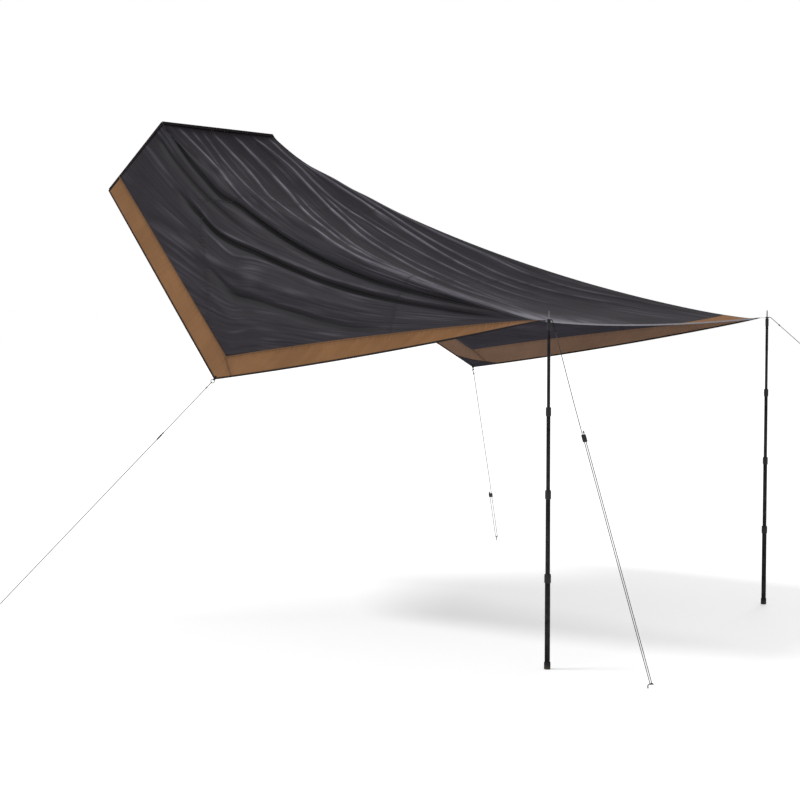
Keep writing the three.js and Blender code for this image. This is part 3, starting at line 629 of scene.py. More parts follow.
def oxford(name, dark, plain, light, thread, under, streak_highlight, wrinkled):
    """Coated oxford cloth, from its painted shade in creases through its plain colour to its painted
    highlight on crests, and its colour below.
    """
    material, tree, shader = finish(name, Roughness=0.6, Specular_IOR_Level=0.2)
    uv = add(tree, "UVMap", uv_map="weave").outputs["UV"]
    flow = add(tree, "UVMap", uv_map="flow").outputs["UV"]
    seam_uv = add(tree, "UVMap", uv_map="seam").outputs["UV"]

    # patterns of noise: their size in metres across and along the map, and their detail
    patterns = {
        "yarns_along": (uv, 0.008, 0.15, 1), "yarns_across": (uv, 0.15, 0.008, 1),
        "broad": (flow, 0.045, 0.9, 1), "fine": (flow, 0.014, 0.35, 2),
        "puckers": (seam_uv, 0.12, 0.016, 1), "uneven": (flow, 0.05, 0.30, 2),
        "patches": (flow, 0.30, 0.55, 1), "streaks": (flow, 0.022, 0.8, 2),
    }
    noise = {}
    for key, (vector, wide, long, detail) in patterns.items():
        scale = (1 / wide, 1 / long, 1)
        moved = add(tree, "Mapping", {"Vector": vector, "Scale": scale}).outputs["Vector"]
        grain = add(tree, "TexNoise", {"Vector": moved, "Scale": 1, "Detail": detail})
        noise[key] = grain.outputs["Fac"]

    # weave and yarns of uneven thickness
    threads = []
    for way in ("X", "Y"):
        wave = add(tree, "TexWave", {"Vector": uv, "Scale": WEAVE_SCALE}, bands_direction=way)
        threads.append(wave.outputs["Fac"])
    weave = add(tree, "Math", threads, operation="MULTIPLY").outputs["Value"]
    yarns = [noise["yarns_along"], noise["yarns_across"]]
    yarn = add(tree, "Math", yarns, operation="ADD").outputs["Value"]

    # seams: a lap, a groove, two rows of stitches and the puckers beside them
    parts = add(tree, "SeparateXYZ", {"Vector": seam_uv})
    away = add(tree, "Math", [parts.outputs["X"]], operation="ABSOLUTE").outputs["Value"]
    past_row = add(tree, "Math", [away, 0.0035], operation="SUBTRACT").outputs["Value"]
    from_row = add(tree, "Math", [past_row], operation="ABSOLUTE").outputs["Value"]
    beside = add(tree, "MapRange", [from_row, 0.0012, 0.0006]).outputs["Result"]
    stitch = add(tree, "Math", [parts.outputs["Y"], 0.006], operation="DIVIDE").outputs["Value"]
    step = add(tree, "Math", [stitch], operation="FRACT").outputs["Value"]
    dashes = add(tree, "MapRange", [step, 0.75, 0.65]).outputs["Result"]
    stitches = add(tree, "Math", [beside, dashes], operation="MULTIPLY").outputs["Value"]
    lap = add(tree, "MapRange", [away, 0.0075, 0.0060]).outputs["Result"]
    close = add(tree, "MapRange", [away, 0.06, 0]).outputs["Result"]
    drawn_in = [noise["puckers"], close]
    puckers = add(tree, "Math", drawn_in, operation="MULTIPLY").outputs["Value"]

    # painted light and shade along the folds: highlights made lighter unevenly, and painted highlight
    # streaks in some patches
    crest_shading = add(tree, "Attribute", attribute_name="crest_shading").outputs["Fac"]
    uneven = add(tree, "MapRange", [noise["uneven"], 0.35, 0.65, 0.35, 1.35]).outputs["Result"]
    raised = add(tree, "Math", [crest_shading, 0.5], operation="SUBTRACT").outputs["Value"]
    above = add(tree, "Math", [raised, 0], operation="MAXIMUM").outputs["Value"]
    below = add(tree, "Math", [raised, 0], operation="MINIMUM").outputs["Value"]
    lit = add(tree, "Math", [above, uneven], operation="MULTIPLY").outputs["Value"]
    both = add(tree, "Math", [lit, below], operation="ADD").outputs["Value"]
    crest_shading = add(tree, "Math", [both, 0.5], operation="ADD").outputs["Value"]
    patches = add(tree, "MapRange", [noise["patches"], 0.42, 0.60]).outputs["Result"]
    streaks = add(tree, "MapRange", [noise["streaks"], 0.50, 0.72]).outputs["Result"]
    streaks = add(tree, "Math", [streaks, patches], operation="MULTIPLY").outputs["Value"]
    streaks = add(tree, "Math", [streaks, streak_highlight], operation="MULTIPLY").outputs["Value"]
    lifted = add(tree, "Math", [crest_shading, streaks], operation="ADD", use_clamp=True)
    crest_shading = lifted.outputs["Value"]

    # how bright: faded dye, yarns, painted light and shade along the fine wrinkles, laps, and painted shade
    # along the puckers
    place = add(tree, "TexCoord").outputs["Object"]
    fading = add(tree, "TexNoise", {"Vector": place, "Scale": 1 / 0.35, "Detail": 3}).outputs["Fac"]
    faded = add(tree, "MapRange", [fading, 0.3, 0.7, 0.88, 1.12]).outputs["Result"]
    limits = [0.3, 0.7, 1 - 0.14 * wrinkled, 1 + 0.16 * wrinkled]
    steps = [[yarn, 0.6, 1.4, 0.93, 1.07], [noise["fine"], *limits], [lap, 0, 1, 1, 0.78],
             [puckers, 0.2, 0.6, 1, 0.75]]
    value = faded
    for limits in steps:
        factor = add(tree, "MapRange", limits).outputs["Result"]
        value = add(tree, "Math", [value, factor], operation="MULTIPLY").outputs["Value"]

    # colour: painted shade in creases and painted highlights on crests above, and below the same painted
    # light and shade turned round and greyer; and the thread
    stops = [(0, dark), (0.5, plain), (1, light)]
    upper = add(tree, "ValToRGB", [crest_shading], stops).outputs["Color"]
    shades = [[value * k for value in under[:3]] + [1] for k in (1.6, 1, 0.5)]
    lower = add(tree, "ValToRGB", [crest_shading], list(zip((0.1, 0.5, 0.9), shades))).outputs["Color"]
    coated = add(tree, "Attribute", attribute_name="coated").outputs["Fac"]
    sides = {"Factor": coated, "A": upper, "B": lower}
    tone = add(tree, "Mix", sides, data_type="RGBA").outputs["Result"]
    cloth = add(tree, "HueSaturation", {"Color": tone, "Value": value}).outputs["Color"]
    sewn = {"Factor": stitches, "A": cloth, "B": thread}
    colour = add(tree, "Mix", sewn, data_type="RGBA").outputs["Result"]
    tree.links.new(colour, shader.inputs["Base Color"])

    # surface: from the broad wrinkles down to the weave, with strength and height in metres
    reliefs = [(noise["broad"], 0.5 * wrinkled, 0.014), (noise["fine"], 0.45 * wrinkled, 0.005),
               (puckers, 0.7, 0.006), (lap, 0.7, 0.0012), (stitches, 0.6, 0.0005),
               (yarn, 0.10, 0.0005), (weave, 0.15, 0.0002)]
    inputs = {}
    for height, strength, distance in reliefs:
        inputs.update({"Height": height, "Strength": strength, "Distance": distance})
        inputs["Normal"] = add(tree, "Bump", inputs).outputs["Normal"]
    tree.links.new(inputs["Normal"], shader.inputs["Normal"])
    return material


# for both cloths, dark is the painted shade in creases and light the painted highlight on crests
dark_oxford = oxford(
    "coated_oxford_charcoal", dark=linear("#0E0C10"), plain=linear("#28242B"),
    light=linear("#8A8791"), thread=linear("#3F3D43"), under=linear("#3D3A43"),
    streak_highlight=0.13, wrinkled=1.0)
tan_oxford = oxford(
    "coated_oxford_tan", dark=linear("#77502F"), plain=linear("#906640"),
    light=linear("#9F774E"), thread=linear("#6B4A2E"), under=linear("#94735C"),
    streak_highlight=0.0, wrinkled=0.3)
print("weave 2 mm apart, thicker yarns 8 mm apart, stitches 4 mm long")

# %% [markdown]
# ## Dark cloth
# The roof and both wings are one continuous sheet up to the seams of the tan bands. It
# is a grid of 170 by 286 points on the shape above. The grid's columns follow the fold
# lines and lie closest beside them, so that each crest stays sharp, and a Solidify
# modifier gives the sheet the cloth's thickness. Two cross seams join its three panels.

# %% Make the dark cloth
# Columns to a stretch: at the wing's foot, on the near wing, on the far one, between folds
LOW_STEPS, WING_STEPS, FAR_STEPS, FOLD_STEPS = 18, 64, 34, 11
# Where the two cross seams lie: s of each at these places of |q|. They were rounded by
# hand from what another program worked out for points chosen in the photograph.
SEAM_PLACES = (0, 0.3, 0.62, 1, 1.15, 1.2, 1.3, 1.4, 1.5, 1.65, 1.8, 2)
SEAMS = [(0.25, 0.25, 0.27, 0.28, 0.213, 0.187, 0.155, 0.158, 0.168, 0.186, 0.197, 0.208),
         (0.605, 0.61, 0.66, 0.72, 0.70, 0.695, 0.69, 0.685, 0.68, 0.675, 0.67, 0.665)]


def stored(piece, name, values):
    """Store one value at each of a piece's points, for its finish to read."""
    attribute = piece.data.attributes.new(name, "FLOAT", "POINT")
    attribute.data.foreach_set("value", values.astype(np.float32).ravel())


def marked(piece, s, q, seam, along, flow=None):
    """Store on the cloth its painted light and shade along the folds, its places across and along its
    wrinkles, and its seams.
    """
    stored(piece, "crest_shading", np.clip(0.5 + 0.5 * folded(s, q)[1], 0, 1))
    mapped(piece, "flow", *(flow or (q * 0.8, s * 4.0)))
    mapped(piece, "seam", seam, along)


def thick(piece, s, q, thickness=0.001):
    """Give a sheet its thickness, and mark the coated side, which faces down and in."""
    modified(piece, "SOLIDIFY", thickness=thickness, offset=0)
    mesh = piece.data
    normals = np.empty(3 * len(mesh.vertices), np.float32)
    mesh.vertices.foreach_get("normal", normals)
    up = facing(s, q).reshape(-1, 3)
    up = np.tile(up, (len(mesh.vertices) // len(up), 1))
    stored(piece, "coated", (normals.reshape(-1, 3) * up).sum(1) < 0)


def both_seams(a, b):
    """One signed distance to the nearer of two seams, from the distance to each."""
    return a * b / np.maximum(np.hypot(a, b), 1e-6)


def fan(s, q):
    """How steeply the line from a pole's top to each point of the cloth climbs."""
    p = rounded_cloth(s, q)
    return (p[..., 2] - POLE_TOP[2]) / (POLE_TOP[0] + 0.05 - p[..., 0])


def across_wrinkles(s, q, even):
    """Metres across the wrinkles: along the folds on the roof, fanned out from the poles on the wings."""
    upper = np.interp(s, *FOLDS[0][4])
    near = even[:, [WING_STEPS]] - 2.2 * (fan(s, upper) - fan(s, q))
    far = even[:, [-1 - FAR_STEPS]] + 2.2 * (fan(s, np.ones_like(s)) - fan(s, q))
    return np.where(q < upper, near, np.where(q > 1, far, even))


def fold_columns(s):
    """Columns that follow the folds, closer together on each line than between lines."""
    lines = [np.full_like(s, -2.0)]
    for *_, (at, line) in FOLDS[:len(LONG_FOLDS)]:
        lines.append(np.maximum(np.interp(s, at, line), lines[-1] + 0.012))
    lines = [np.minimum(line, 1 - 0.012 * k) for line, k in zip(lines, range(len(lines), 0, -1))]
    lines.append(np.full_like(s, 1.0))
    t = np.linspace(0, 1, FOLD_STEPS + 1)[:-1]
    t = t - 0.11 * np.sin(2 * math.pi * t)
    crease = np.maximum(np.interp(s, *FOLDS[len(LONG_FOLDS)][4]), -1.90)
    low = lines[0] + (crease - lines[0]) * np.linspace(0, 1, LOW_STEPS + 1)[:-1]
    near = crease + (lines[1] - crease) * np.linspace(0, 1, WING_STEPS - LOW_STEPS + 1)[:-1]
    columns = [low, near] + [a + (b - a) * t for a, b in zip(lines[1:], lines[2:])]
    far = 1 + np.linspace(0, 1, FAR_STEPS + 1) + 0 * s
    return np.concatenate([*columns, far], 1)


share = np.linspace(0, 1, 170)
CLOTH_ROWS = 0.45 * share + 0.55 * (0.5 - 0.5 * np.cos(math.pi * share))
s = CLOTH_ROWS[:, None]
q = fold_columns(s)
s = np.broadcast_to(s, q.shape)
points = cloth_point(s, q)
dark_cloth = woven("dark_cloth", points)
steps = np.linalg.norm(np.diff(points, axis=1), axis=2)
across = np.concatenate([np.zeros((len(s), 1)), steps.cumsum(1)], 1)
middle = np.array([np.interp(0, q_row, row) for q_row, row in zip(q, across)])[:, None]
mapped(dark_cloth, "weave", across - middle, 4.1 * s)
seams = [(s - np.interp(np.abs(q), SEAM_PLACES, seam)) * 4.0 for seam in SEAMS]
nearest = both_seams(*seams)
even = across.mean(0) + 0 * s
marked(dark_cloth, s, q, nearest, across - middle, (across_wrinkles(s, q, even), 4.0 * s))
thick(dark_cloth, s, q)
rides(dark_cloth, "canopy", dark_oxford, "dark_cloth", "rear_panel", "middle_panel", "front_panel")
print("dark cloth has a grid of", points.shape[:2], "and", len(dark_cloth.data.polygons), "faces")

# %% [markdown]
# ## Tan bands
# Each wing ends in a band of tan cloth, 140 mm wide and narrower towards the pole. Its
# lower length is lapped over its side length near the wing's corner, which shows as a
# line across the band. The band is lapped 12 mm over the dark cloth and sewn down, so
# its inner edge stands 1 mm proud. The thread draws it in, and soft wrinkles that lift
# it by up to 3.5 mm lie slantwise across it. At the pole it turns in over the roof's
# corner, where a tan wedge shows from above.

# %% Make the bands
BAND_LAP = 0.012
SEAM_IN = 0.006
SIDE_LENGTH = (0, CORNER_SHARE, 50)
LOWER_LENGTH = (CORNER_SHARE, 1, 130)


def along(*parts):
    """Places along s, from stretches given as (start, end, steps)."""
    stretches = [np.linspace(a, b, steps + 1) for a, b, steps in parts]
    return np.unique(np.concatenate(stretches))[:, None]


def on_side(q, side):
    """The far side's columns, or the near side's in the same direction."""
    return q if side == "far" else -q[:, ::-1]


def band(side):
    """The tan band along a wing's side and lower edges, lapped over the dark cloth."""
    s = along(SIDE_LENGTH, LOWER_LENGTH)
    wing = np.linalg.norm(ridge(s, MEAN_SAG) - band_seam(s), axis=-1)
    lap = BAND_LAP / np.maximum(wing, 0.05)
    k = np.linspace(0, 1, 13)[None, :]
    q = on_side(np.where(k < 0.1, 2 - lap * (1 - k * 10), 2 + (k - 0.1) / 0.9), side)
    proud = 0.0012 * (1 - rise(np.abs(q), 2.0, 2.05))
    length = np.linalg.norm(np.diff(free_edge(s[:, 0]), axis=0), axis=1).cumsum()
    length = np.concatenate([[0], length])[:, None]
    slant = length + 0.5 * BAND_WIDTH * (np.abs(q) - 2)
    ripple = np.sin(slant * 29 + 1.1 * np.sin(slant * 7.3)) + 0.6 * np.sin(slant * 51 + 2)
    slack = np.sin(math.pi * np.clip(np.abs(q) - 2, 0, 1))
    slack = slack * rise(np.abs(s - CORNER_SHARE - 0.015), 0.055, 0.12)
    slack = slack * rise(s, 0, 0.04) * (1 - rise(s, 0.80, 1))
    points = cloth_point(s, q, proud + 0.0022 * ripple * slack)
    piece = woven(side + "_band", points)
    from_edge = np.linalg.norm(points - points[:, [0 if side == "far" else -1]], axis=2)
    start = cloth_point(CORNER_SHARE, 2.0 * SIDES[side])
    end = cloth_point(CORNER_SHARE + 0.046, 3.0 * SIDES[side])
    face = facing(np.array(CORNER_SHARE), np.array(2.5 * SIDES[side]))
    square = unit(np.cross(end - start, face))
    joint, seam = (points - start) @ square - SEAM_IN, from_edge - SEAM_IN
    marked(piece, np.broadcast_to(s, q.shape), q, both_seams(seam, joint), length, (slant, from_edge))
    thick(piece, s, q)
    return piece


def wedge_grid(side):
    """The s and q of the wedge in which a band ends at its pole, and where its rows start."""
    depth, first = (0.056, 0.25) if side == "far" else (0.024, 0.72)
    s = CLOTH_ROWS[CLOTH_ROWS > 1 - depth][:, None]
    start = first + (0.98 - first) * ((1 - s) / depth) ** 1.25
    q = start + (0.995 - start) * np.linspace(0, 1, 25)[None, :]
    return np.broadcast_to(s, q.shape), q, start


def gusset(side):
    """The band's end at the pole, which turns in over the roof's corner as a wedge."""
    s, q, start = wedge_grid(side)
    q = on_side(q, side)
    piece = woven(side + "_gusset", cloth_point(s, q, 0.0014))
    marked(piece, s, q, np.abs(q) - start + SEAM_IN, 4 * s)
    thick(piece, s, q)
    return piece


bands = {}
for side in SIDES:
    bands[side] = band(side)
    wedge = gusset(side)
    chosen(bands[side])
    wedge.select_set(True)
    bpy.ops.object.join()
    rides(bands[side], "canopy", tan_oxford, "tan_cloth", side + "_side_band", side + "_lower_band")
print("band faces", len(bands["near"].data.polygons))

# %% [markdown]
# ## Woven tape
# The free edges are bound with a folded tape, the others end in keder beads, and the
# pole corners in webbing. All are flat, matt polyester tape, with slantwise ribs about
# 8 mm apart. The front hem's tape is the same in light grey.

# %% Finish of the tapes
TAPE_SCALE = 0.5 / 0.0030 / math.pi


def tape(name, shade, plain):
    """Woven tape, from the colour between its ribs to the colour on them."""
    material, tree, shader = finish(name, Roughness=0.8, Specular_IOR_Level=0.2)
    uv = add(tree, "UVMap", uv_map="weave").outputs["UV"]
    inputs = {"Vector": uv, "Scale": TAPE_SCALE, "Distortion": 0.5}
    ribs = add(tree, "TexWave", inputs, bands_direction="DIAGONAL").outputs["Fac"]
    dust = add(tree, "TexNoise", {"Vector": uv, "Scale": 1 / 0.02, "Detail": 3}).outputs["Fac"]
    tone = add(tree, "Math", [ribs, dust], operation="MULTIPLY").outputs["Value"]
    colour = add(tree, "ValToRGB", [tone], [(0, shade), (0.6, plain)]).outputs["Color"]
    tree.links.new(colour, shader.inputs["Base Color"])
    bump = add(tree, "Bump", {"Height": ribs, "Strength": 0.4, "Distance": 0.0003})
    tree.links.new(bump.outputs["Normal"], shader.inputs["Normal"])
    return material


dark_tape = tape("polyester_tape_dark", linear("#1A1618"), linear("#2F272B"))
light_tape = tape("polyester_tape_light", linear("#98959C"), linear("#C4C1C7"))
print("tape ribs 8 mm apart")

# %% [markdown]
# ## Edge binding and front hem
# The binding is folded round the free edge, 12 mm wide and 3 mm thick with the cloth
# inside it. The hem tape is folded over the roof's front edge. Both are closed sections
# drawn along the cloth's own edge, so they follow its sag.

# %% Make the binding and the hem tape
def bound(name, s, q_of, section):
    """A tape along the cloth: its section gives places across the cloth and out of it."""
    rows = [cloth_point(s, q_of(s, across), out) for across, out in section]
    return woven(name, np.stack(rows, 1), closed=True)


def binding(side):
    """The folded tape over a wing's free edge."""
    s = along(SIDE_LENGTH, LOWER_LENGTH)[:, 0]
    width = np.maximum(np.linalg.norm(free_edge(s) - band_seam(s), axis=-1), 0.02)

    def q_of(s, across):
        past_edge = np.where(across < 0, across / width, across / BINDING_WIDTH)
        return SIDES[side] * (3 + past_edge)

    half = 0.0015
    section = [(-0.004, half), (0.004, half), (0.007, half * 0.6), (0.008, 0),
               (0.007, -half * 0.6), (0.004, -half), (-0.004, -half)]
    if side == "far":
        section = section[::-1]
    return bound(side + "_binding", s, q_of, section)


def hem_tape():
    """The light tape folded over the roof's front edge."""
    q = np.linspace(-0.978, 0.978, 200)
    edge = rounded_cloth(np.ones_like(q), q)
    section = [(-0.004, 0.0010), (0, 0.0020), (0.0014, 0.0016), (0.0020, 0), (0.0020, -0.007),
               (0.0010, -0.007), (0.0010, -0.0008), (-0.004, -0.0008)]
    return woven("front_hem", np.stack([edge + (x, 0, z) for x, z in section], 1), closed=True)


bindings = {side: binding(side) for side in SIDES}
for side, piece in bindings.items():
    rides(piece, "canopy", dark_tape, "dark_tape", side + "_edge_binding")
front_hem = rides(hem_tape(), "canopy", light_tape, "light_tape", "front_hem_tape")
print("binding faces", len(bindings["near"].data.polygons), "hem faces", len(front_hem.data.polygons))

# %% [markdown]
# ## Corner patches
# Inside each wing corner a triangle of dark cloth spreads the guyline's pull. It is cut
# from the band's own surface, 1.4 mm under it, deep at the corner and narrow at its
# ends.

# %% Make the corner patches
def corner_patch(side):
    """The dark triangle under the band at a wing's corner."""
    before = 0.150 * CORNER_SHARE / np.linalg.norm(KEDER_END - WING_CORNER)
    after = 0.230 * (1 - CORNER_SHARE) / np.linalg.norm(EDGE_END - WING_CORNER)
    s = along((CORNER_SHARE - before, CORNER_SHARE, 12), (CORNER_SHARE, CORNER_SHARE + after, 12))
    depth = np.interp(s, [CORNER_SHARE - before, CORNER_SHARE, CORNER_SHARE + after], [0.03, 0.42, 0.03])
    q = on_side(3 - depth * np.linspace(1, 0, 9)[None, :], side)
    piece = woven(side + "_patch", cloth_point(s, q, -0.0014))
    marked(piece, np.broadcast_to(s, q.shape), q, (np.abs(q) - 2.9) * 0.14, s * 4)
    thick(piece, s, q, 0.0012)
    return piece


patches = {side: corner_patch(side) for side in SIDES}
for side, piece in patches.items():
    rides(piece, "canopy", dark_oxford, "dark_cloth", side + "_corner_patch")
print("patch faces", len(patches["near"].data.polygons))

# %% [markdown]
# ## Keder beads
# A keder is a cord sewn into a sleeve along the cloth's edge. It slides into a rail
# from one end and can't pull out sideways. The sleeve's section is a ring with a flat
# tail that holds the cloth, drawn along the cloth's top edge and both its sides.

# %% Make the keder beads
BEAD_RADIUS = 0.0042
BEAD_AWAY = 0.0048
BEAD_END = 0.006


def keder(name, start, end, away, face):
    """A bead along one straight edge: away from the cloth, with its tail back on to it."""
    short = unit(end - start) * BEAD_END
    turns = np.linspace(-2.6, 2.6, 15)
    ring = [(BEAD_RADIUS * math.cos(a), BEAD_RADIUS * math.sin(a)) for a in turns]
    section = [(-0.026, -0.0012), (-0.006, -0.0016), *ring, (-0.006, 0.0016), (-0.026, 0.0012)]
    centre = mix(start + short, end - short, np.linspace(0, 1, 60)) + away * BEAD_AWAY
    rows = [[c + away * a + face * b for a, b in section] for c in centre]
    return woven(name, rows, closed=True)


def outward(edge_way, inside_point, edge_point):
    """The direction away from the cloth, square to its edge."""
    inside = inside_point - edge_point
    return -unit(inside - edge_way * (inside @ edge_way))


keders = {}
top_way = np.array([0.0, 1.0, 0.0])
away = outward(top_way, rounded_cloth(np.array(0.05), np.array(0.0)), np.zeros(3))
face = unit(np.cross(top_way, away))
keders["top"] = keder("top_bead", mirrored(KEDER_CORNER, "near"), KEDER_CORNER, away, face)
for side in SIDES:
    start, end, corner = (mirrored(p, side) for p in (KEDER_CORNER, KEDER_END, WING_CORNER))
    way = unit(end - start)
    away = outward(way, corner, end)
    keders[side] = keder(side + "_bead", start, end, away, unit(np.cross(way, away)))
for name, piece in keders.items():
    node = "top_keder" if name == "top" else name + "_side_keder"
    rides(piece, "canopy", dark_tape, "dark_tape", node)
print("side bead", round(float(np.linalg.norm(KEDER_END - KEDER_CORNER)), 3), "m long")

# %% [markdown]
# ## Turned pole pieces
# A telescopic pole is drawn aluminium tube with moulded locks, a cap and a foot. Every
# piece is round, so each starts as a ring that is extruded and scaled from one point of
# its outline to the next. The near pole is modelled on its own axis and copied.

# %% Helper for turned pieces
ROUND = 48


def turned(name, outline, hollow=False):
    """Draw a ring, then extrude and scale it from point to point, in mm from the ground."""
    bpy.ops.object.select_all(action="DESELECT")
    (radius, height), *rest = [(r / 1000, z / 1000) for r, z in outline]
    fill = "NOTHING" if hollow else "NGON"
    bpy.ops.mesh.primitive_circle_add(
        vertices=ROUND, radius=radius, location=(0, 0, height), fill_type=fill)
    piece = bpy.context.object
    bpy.context.tool_settings.mesh_select_mode = (True, False, False)
    bpy.ops.object.mode_set(mode="EDIT")
    bpy.ops.mesh.select_all(action="SELECT")
    for r, z in rest:
        bpy.ops.mesh.extrude_region_move(TRANSFORM_OT_translate={"value": (0, 0, z - height)})
        bpy.ops.transform.resize(value=(r / radius, r / radius, 1), center_override=(0, 0, z))
        radius, height = r, z
    bpy.ops.mesh.select_all(action="SELECT")
    bpy.ops.mesh.remove_doubles(threshold=1e-6)
    bpy.ops.mesh.normals_make_consistent(inside=False)
    bpy.ops.object.mode_set(mode="OBJECT")
    bpy.ops.object.transform_apply(location=True, rotation=True, scale=True)
    piece.name = piece.data.name = name
    return piece


def edges_eased(piece, width, angle=40):
    """Round the sharp edges a little and smooth the rest."""
    limit = {"limit_method": "ANGLE", "angle_limit": math.radians(angle)}
    modified(piece, "BEVEL", width=width, segments=2, **limit)
    chosen(piece)
    bpy.ops.object.shade_smooth_by_angle(angle=math.radians(35))
    return piece


def copied(piece, name, place):
    """A copy with its own mesh, moved to its place."""
    copy = piece.copy()
    copy.data = piece.data.copy()
    copy.name = copy.data.name = name
    bpy.context.scene.collection.objects.link(copy)
    copy.data.transform(Matrix.Translation(place))
    return copy


print("turned pieces have", ROUND, "sides")

# %% [markdown]
# ## Finishes of the pole
# The tubes are aluminium, drawn and anodised black: a satin metal with faint streaks
# along the draw. The locks, cap and foot are moulded, the first two of glass-filled
# nylon with a fine grain, the foot of rubber that picks up dust near the ground. The
# spigot, eyelet and rings are polished stainless steel with fine scratches.

# %% Finishes of tube, nylon, rubber and steel
anodised, tree, shader = finish("anodised_aluminium_black", Metallic=1.0, Roughness=0.38)
place = add(tree, "TexCoord").outputs["Object"]
scale = (1 / 0.0015, 1 / 0.0015, 1 / 0.25)
drawn = add(tree, "Mapping", {"Vector": place, "Scale": scale}).outputs["Vector"]
streaks = add(tree, "TexNoise", {"Vector": drawn, "Scale": 1, "Detail": 2}).outputs["Fac"]
wear = add(tree, "TexNoise", {"Vector": place, "Scale": 1 / 0.05, "Detail": 4}).outputs["Fac"]
tone = add(tree, "Math", [streaks, wear], operation="MULTIPLY").outputs["Value"]
stops = [(0.15, linear("#262427")), (0.4, linear("#424044"))]
colour = add(tree, "ValToRGB", [tone], stops).outputs["Color"]
tree.links.new(colour, shader.inputs["Base Color"])
rough = add(tree, "MapRange", {"Value": streaks, "To Min": 0.30, "To Max": 0.46}).outputs["Result"]
tree.links.new(rough, shader.inputs["Roughness"])
bump = add(tree, "Bump", {"Height": streaks, "Strength": 0.15, "Distance": 0.0001})
tree.links.new(bump.outputs["Normal"], shader.inputs["Normal"])


def moulded(name, shade, plain, roughness, grain, dust=None):
    """Moulded plastic or rubber with a fine grain, and dust near the ground if it has any."""
    material, tree, shader = finish(name, Roughness=roughness)
    place = add(tree, "TexCoord").outputs["Object"]
    fine = add(tree, "TexNoise", {"Vector": place, "Scale": 1 / grain, "Detail": 2}).outputs["Fac"]
    patchy = add(tree, "TexNoise", {"Vector": place, "Scale": 1 / 0.03, "Detail": 3}).outputs["Fac"]
    colour = add(tree, "ValToRGB", [patchy], [(0.3, shade), (0.7, plain)]).outputs["Color"]
    if dust:
        height = add(tree, "SeparateXYZ", {"Vector": place}).outputs["Z"]
        low = add(tree, "MapRange", [height, GROUND, GROUND + 0.03, 0.6, 0]).outputs["Result"]
        inputs = {"Factor": low, "A": colour, "B": dust}
        colour = add(tree, "Mix", inputs, data_type="RGBA").outputs["Result"]
    tree.links.new(colour, shader.inputs["Base Color"])
    bump = add(tree, "Bump", {"Height": fine, "Strength": 0.3, "Distance": 0.0002})
    tree.links.new(bump.outputs["Normal"], shader.inputs["Normal"])
    return material


nylon = moulded("moulded_nylon_black", linear("#1C1B1D"), linear("#2A292C"), 0.45, 0.0012)
rubber = moulded("moulded_rubber_black", linear("#1B1A1A"), linear("#262424"), 0.8, 0.0015,
                 dust=linear("#6E655A"))

stainless, tree, shader = finish("polished_stainless_steel", Metallic=1.0, Roughness=0.3)
place = add(tree, "TexCoord").outputs["Object"]
scratches = add(tree, "TexNoise", {"Vector": place, "Scale": 1 / 0.002, "Detail": 4}).outputs["Fac"]
stops = [(0.3, linear("#7E7C80")), (0.7, linear("#A3A1A5"))]
colour = add(tree, "ValToRGB", [scratches], stops).outputs["Color"]
tree.links.new(colour, shader.inputs["Base Color"])
rough = add(tree, "MapRange", {"Value": scratches, "To Min": 0.2, "To Max": 0.4}).outputs["Result"]
tree.links.new(rough, shader.inputs["Roughness"])
print("finishes:", anodised.name, nylon.name, rubber.name, stainless.name)

# %% [markdown]
# ## Tubes, spigot, cap and foot
# Four tubes of 18, 22, 26 and 30 mm slide into each other, each with 70 mm inside the
# next. The top one carries a cap with the steel spigot that stands in the canopy's
# eyelet, and the lowest stands in a ribbed rubber foot.

# %% Model one pole
TUBE_RADII = (9, 11, 13, 15)
LOCK_HEIGHTS = (1439, 978, 509)
TUBE_TOP, TUBE_FOOT, OVERLAP, WALL = 1920.1, 8.3, 70, 1


def tube_outline(k):
    """The section of one of the four tubes, in mm from the ground."""
    radius = TUBE_RADII[k]
    top = TUBE_TOP if k == 0 else LOCK_HEIGHTS[k - 1]
    bottom = LOCK_HEIGHTS[k] - OVERLAP if k < 3 else TUBE_FOOT
    inside = radius - WALL
    return [(radius, bottom), (radius, top), (inside, top), (inside, bottom), (radius, bottom)]


pole = {}
for k in range(4):
    name = f"tube_{k + 1}"
    pole[name] = edges_eased(turned(name, tube_outline(k), hollow=True), 0.0003)
pole["spigot"] = edges_eased(turned("spigot", [
    (4.2, 1927.6), (4.5, 1928), (4.5, 1946), (4.1, 1948), (4.1, 1950), (4.4, 1952), (3.6, 1988),
    (3.2, 1992.5), (2.2, 1994.8), (0.8, 1996)]), 0.0002)
pole["cap"] = edges_eased(turned("cap", [
    (9.3, 1888.4), (11, 1888.4), (11, 1896), (10.5, 1896.6), (10.5, 1899.4), (11, 1900), (11, 1937.8),
    (6.2, 1940.6), (4.8, 1941.6), (4.8, 1927.3), (4.4, 1927.3), (4.4, 1920.4), (9.3, 1920.4),
    (9.3, 1888.4)], hollow=True), 0.0003)
pole["foot"] = edges_eased(turned("foot", [
    (15.5, 0), (18, 0.6), (18.5, 3), (18.5, 10), (17.6, 11), (17.6, 13), (18.5, 14), (18.5, 20), (17.6, 21),
    (17.6, 23), (18.5, 24), (18.5, 30), (17.6, 31), (17.6, 33), (18.4, 34), (18.2, 38), (17, 40),
    (15.3, 40), (15.3, 8), (6, 8)]), 0.0004)
print("pole pieces:", sorted(pole))

# %% [markdown]
# ## Twist locks
# Each lock is a nylon sleeve that is turned by hand, so its middle has grip flutes. They
# are every second pair of the sleeve's 48 long sides, inset and sunk 0.9 mm.

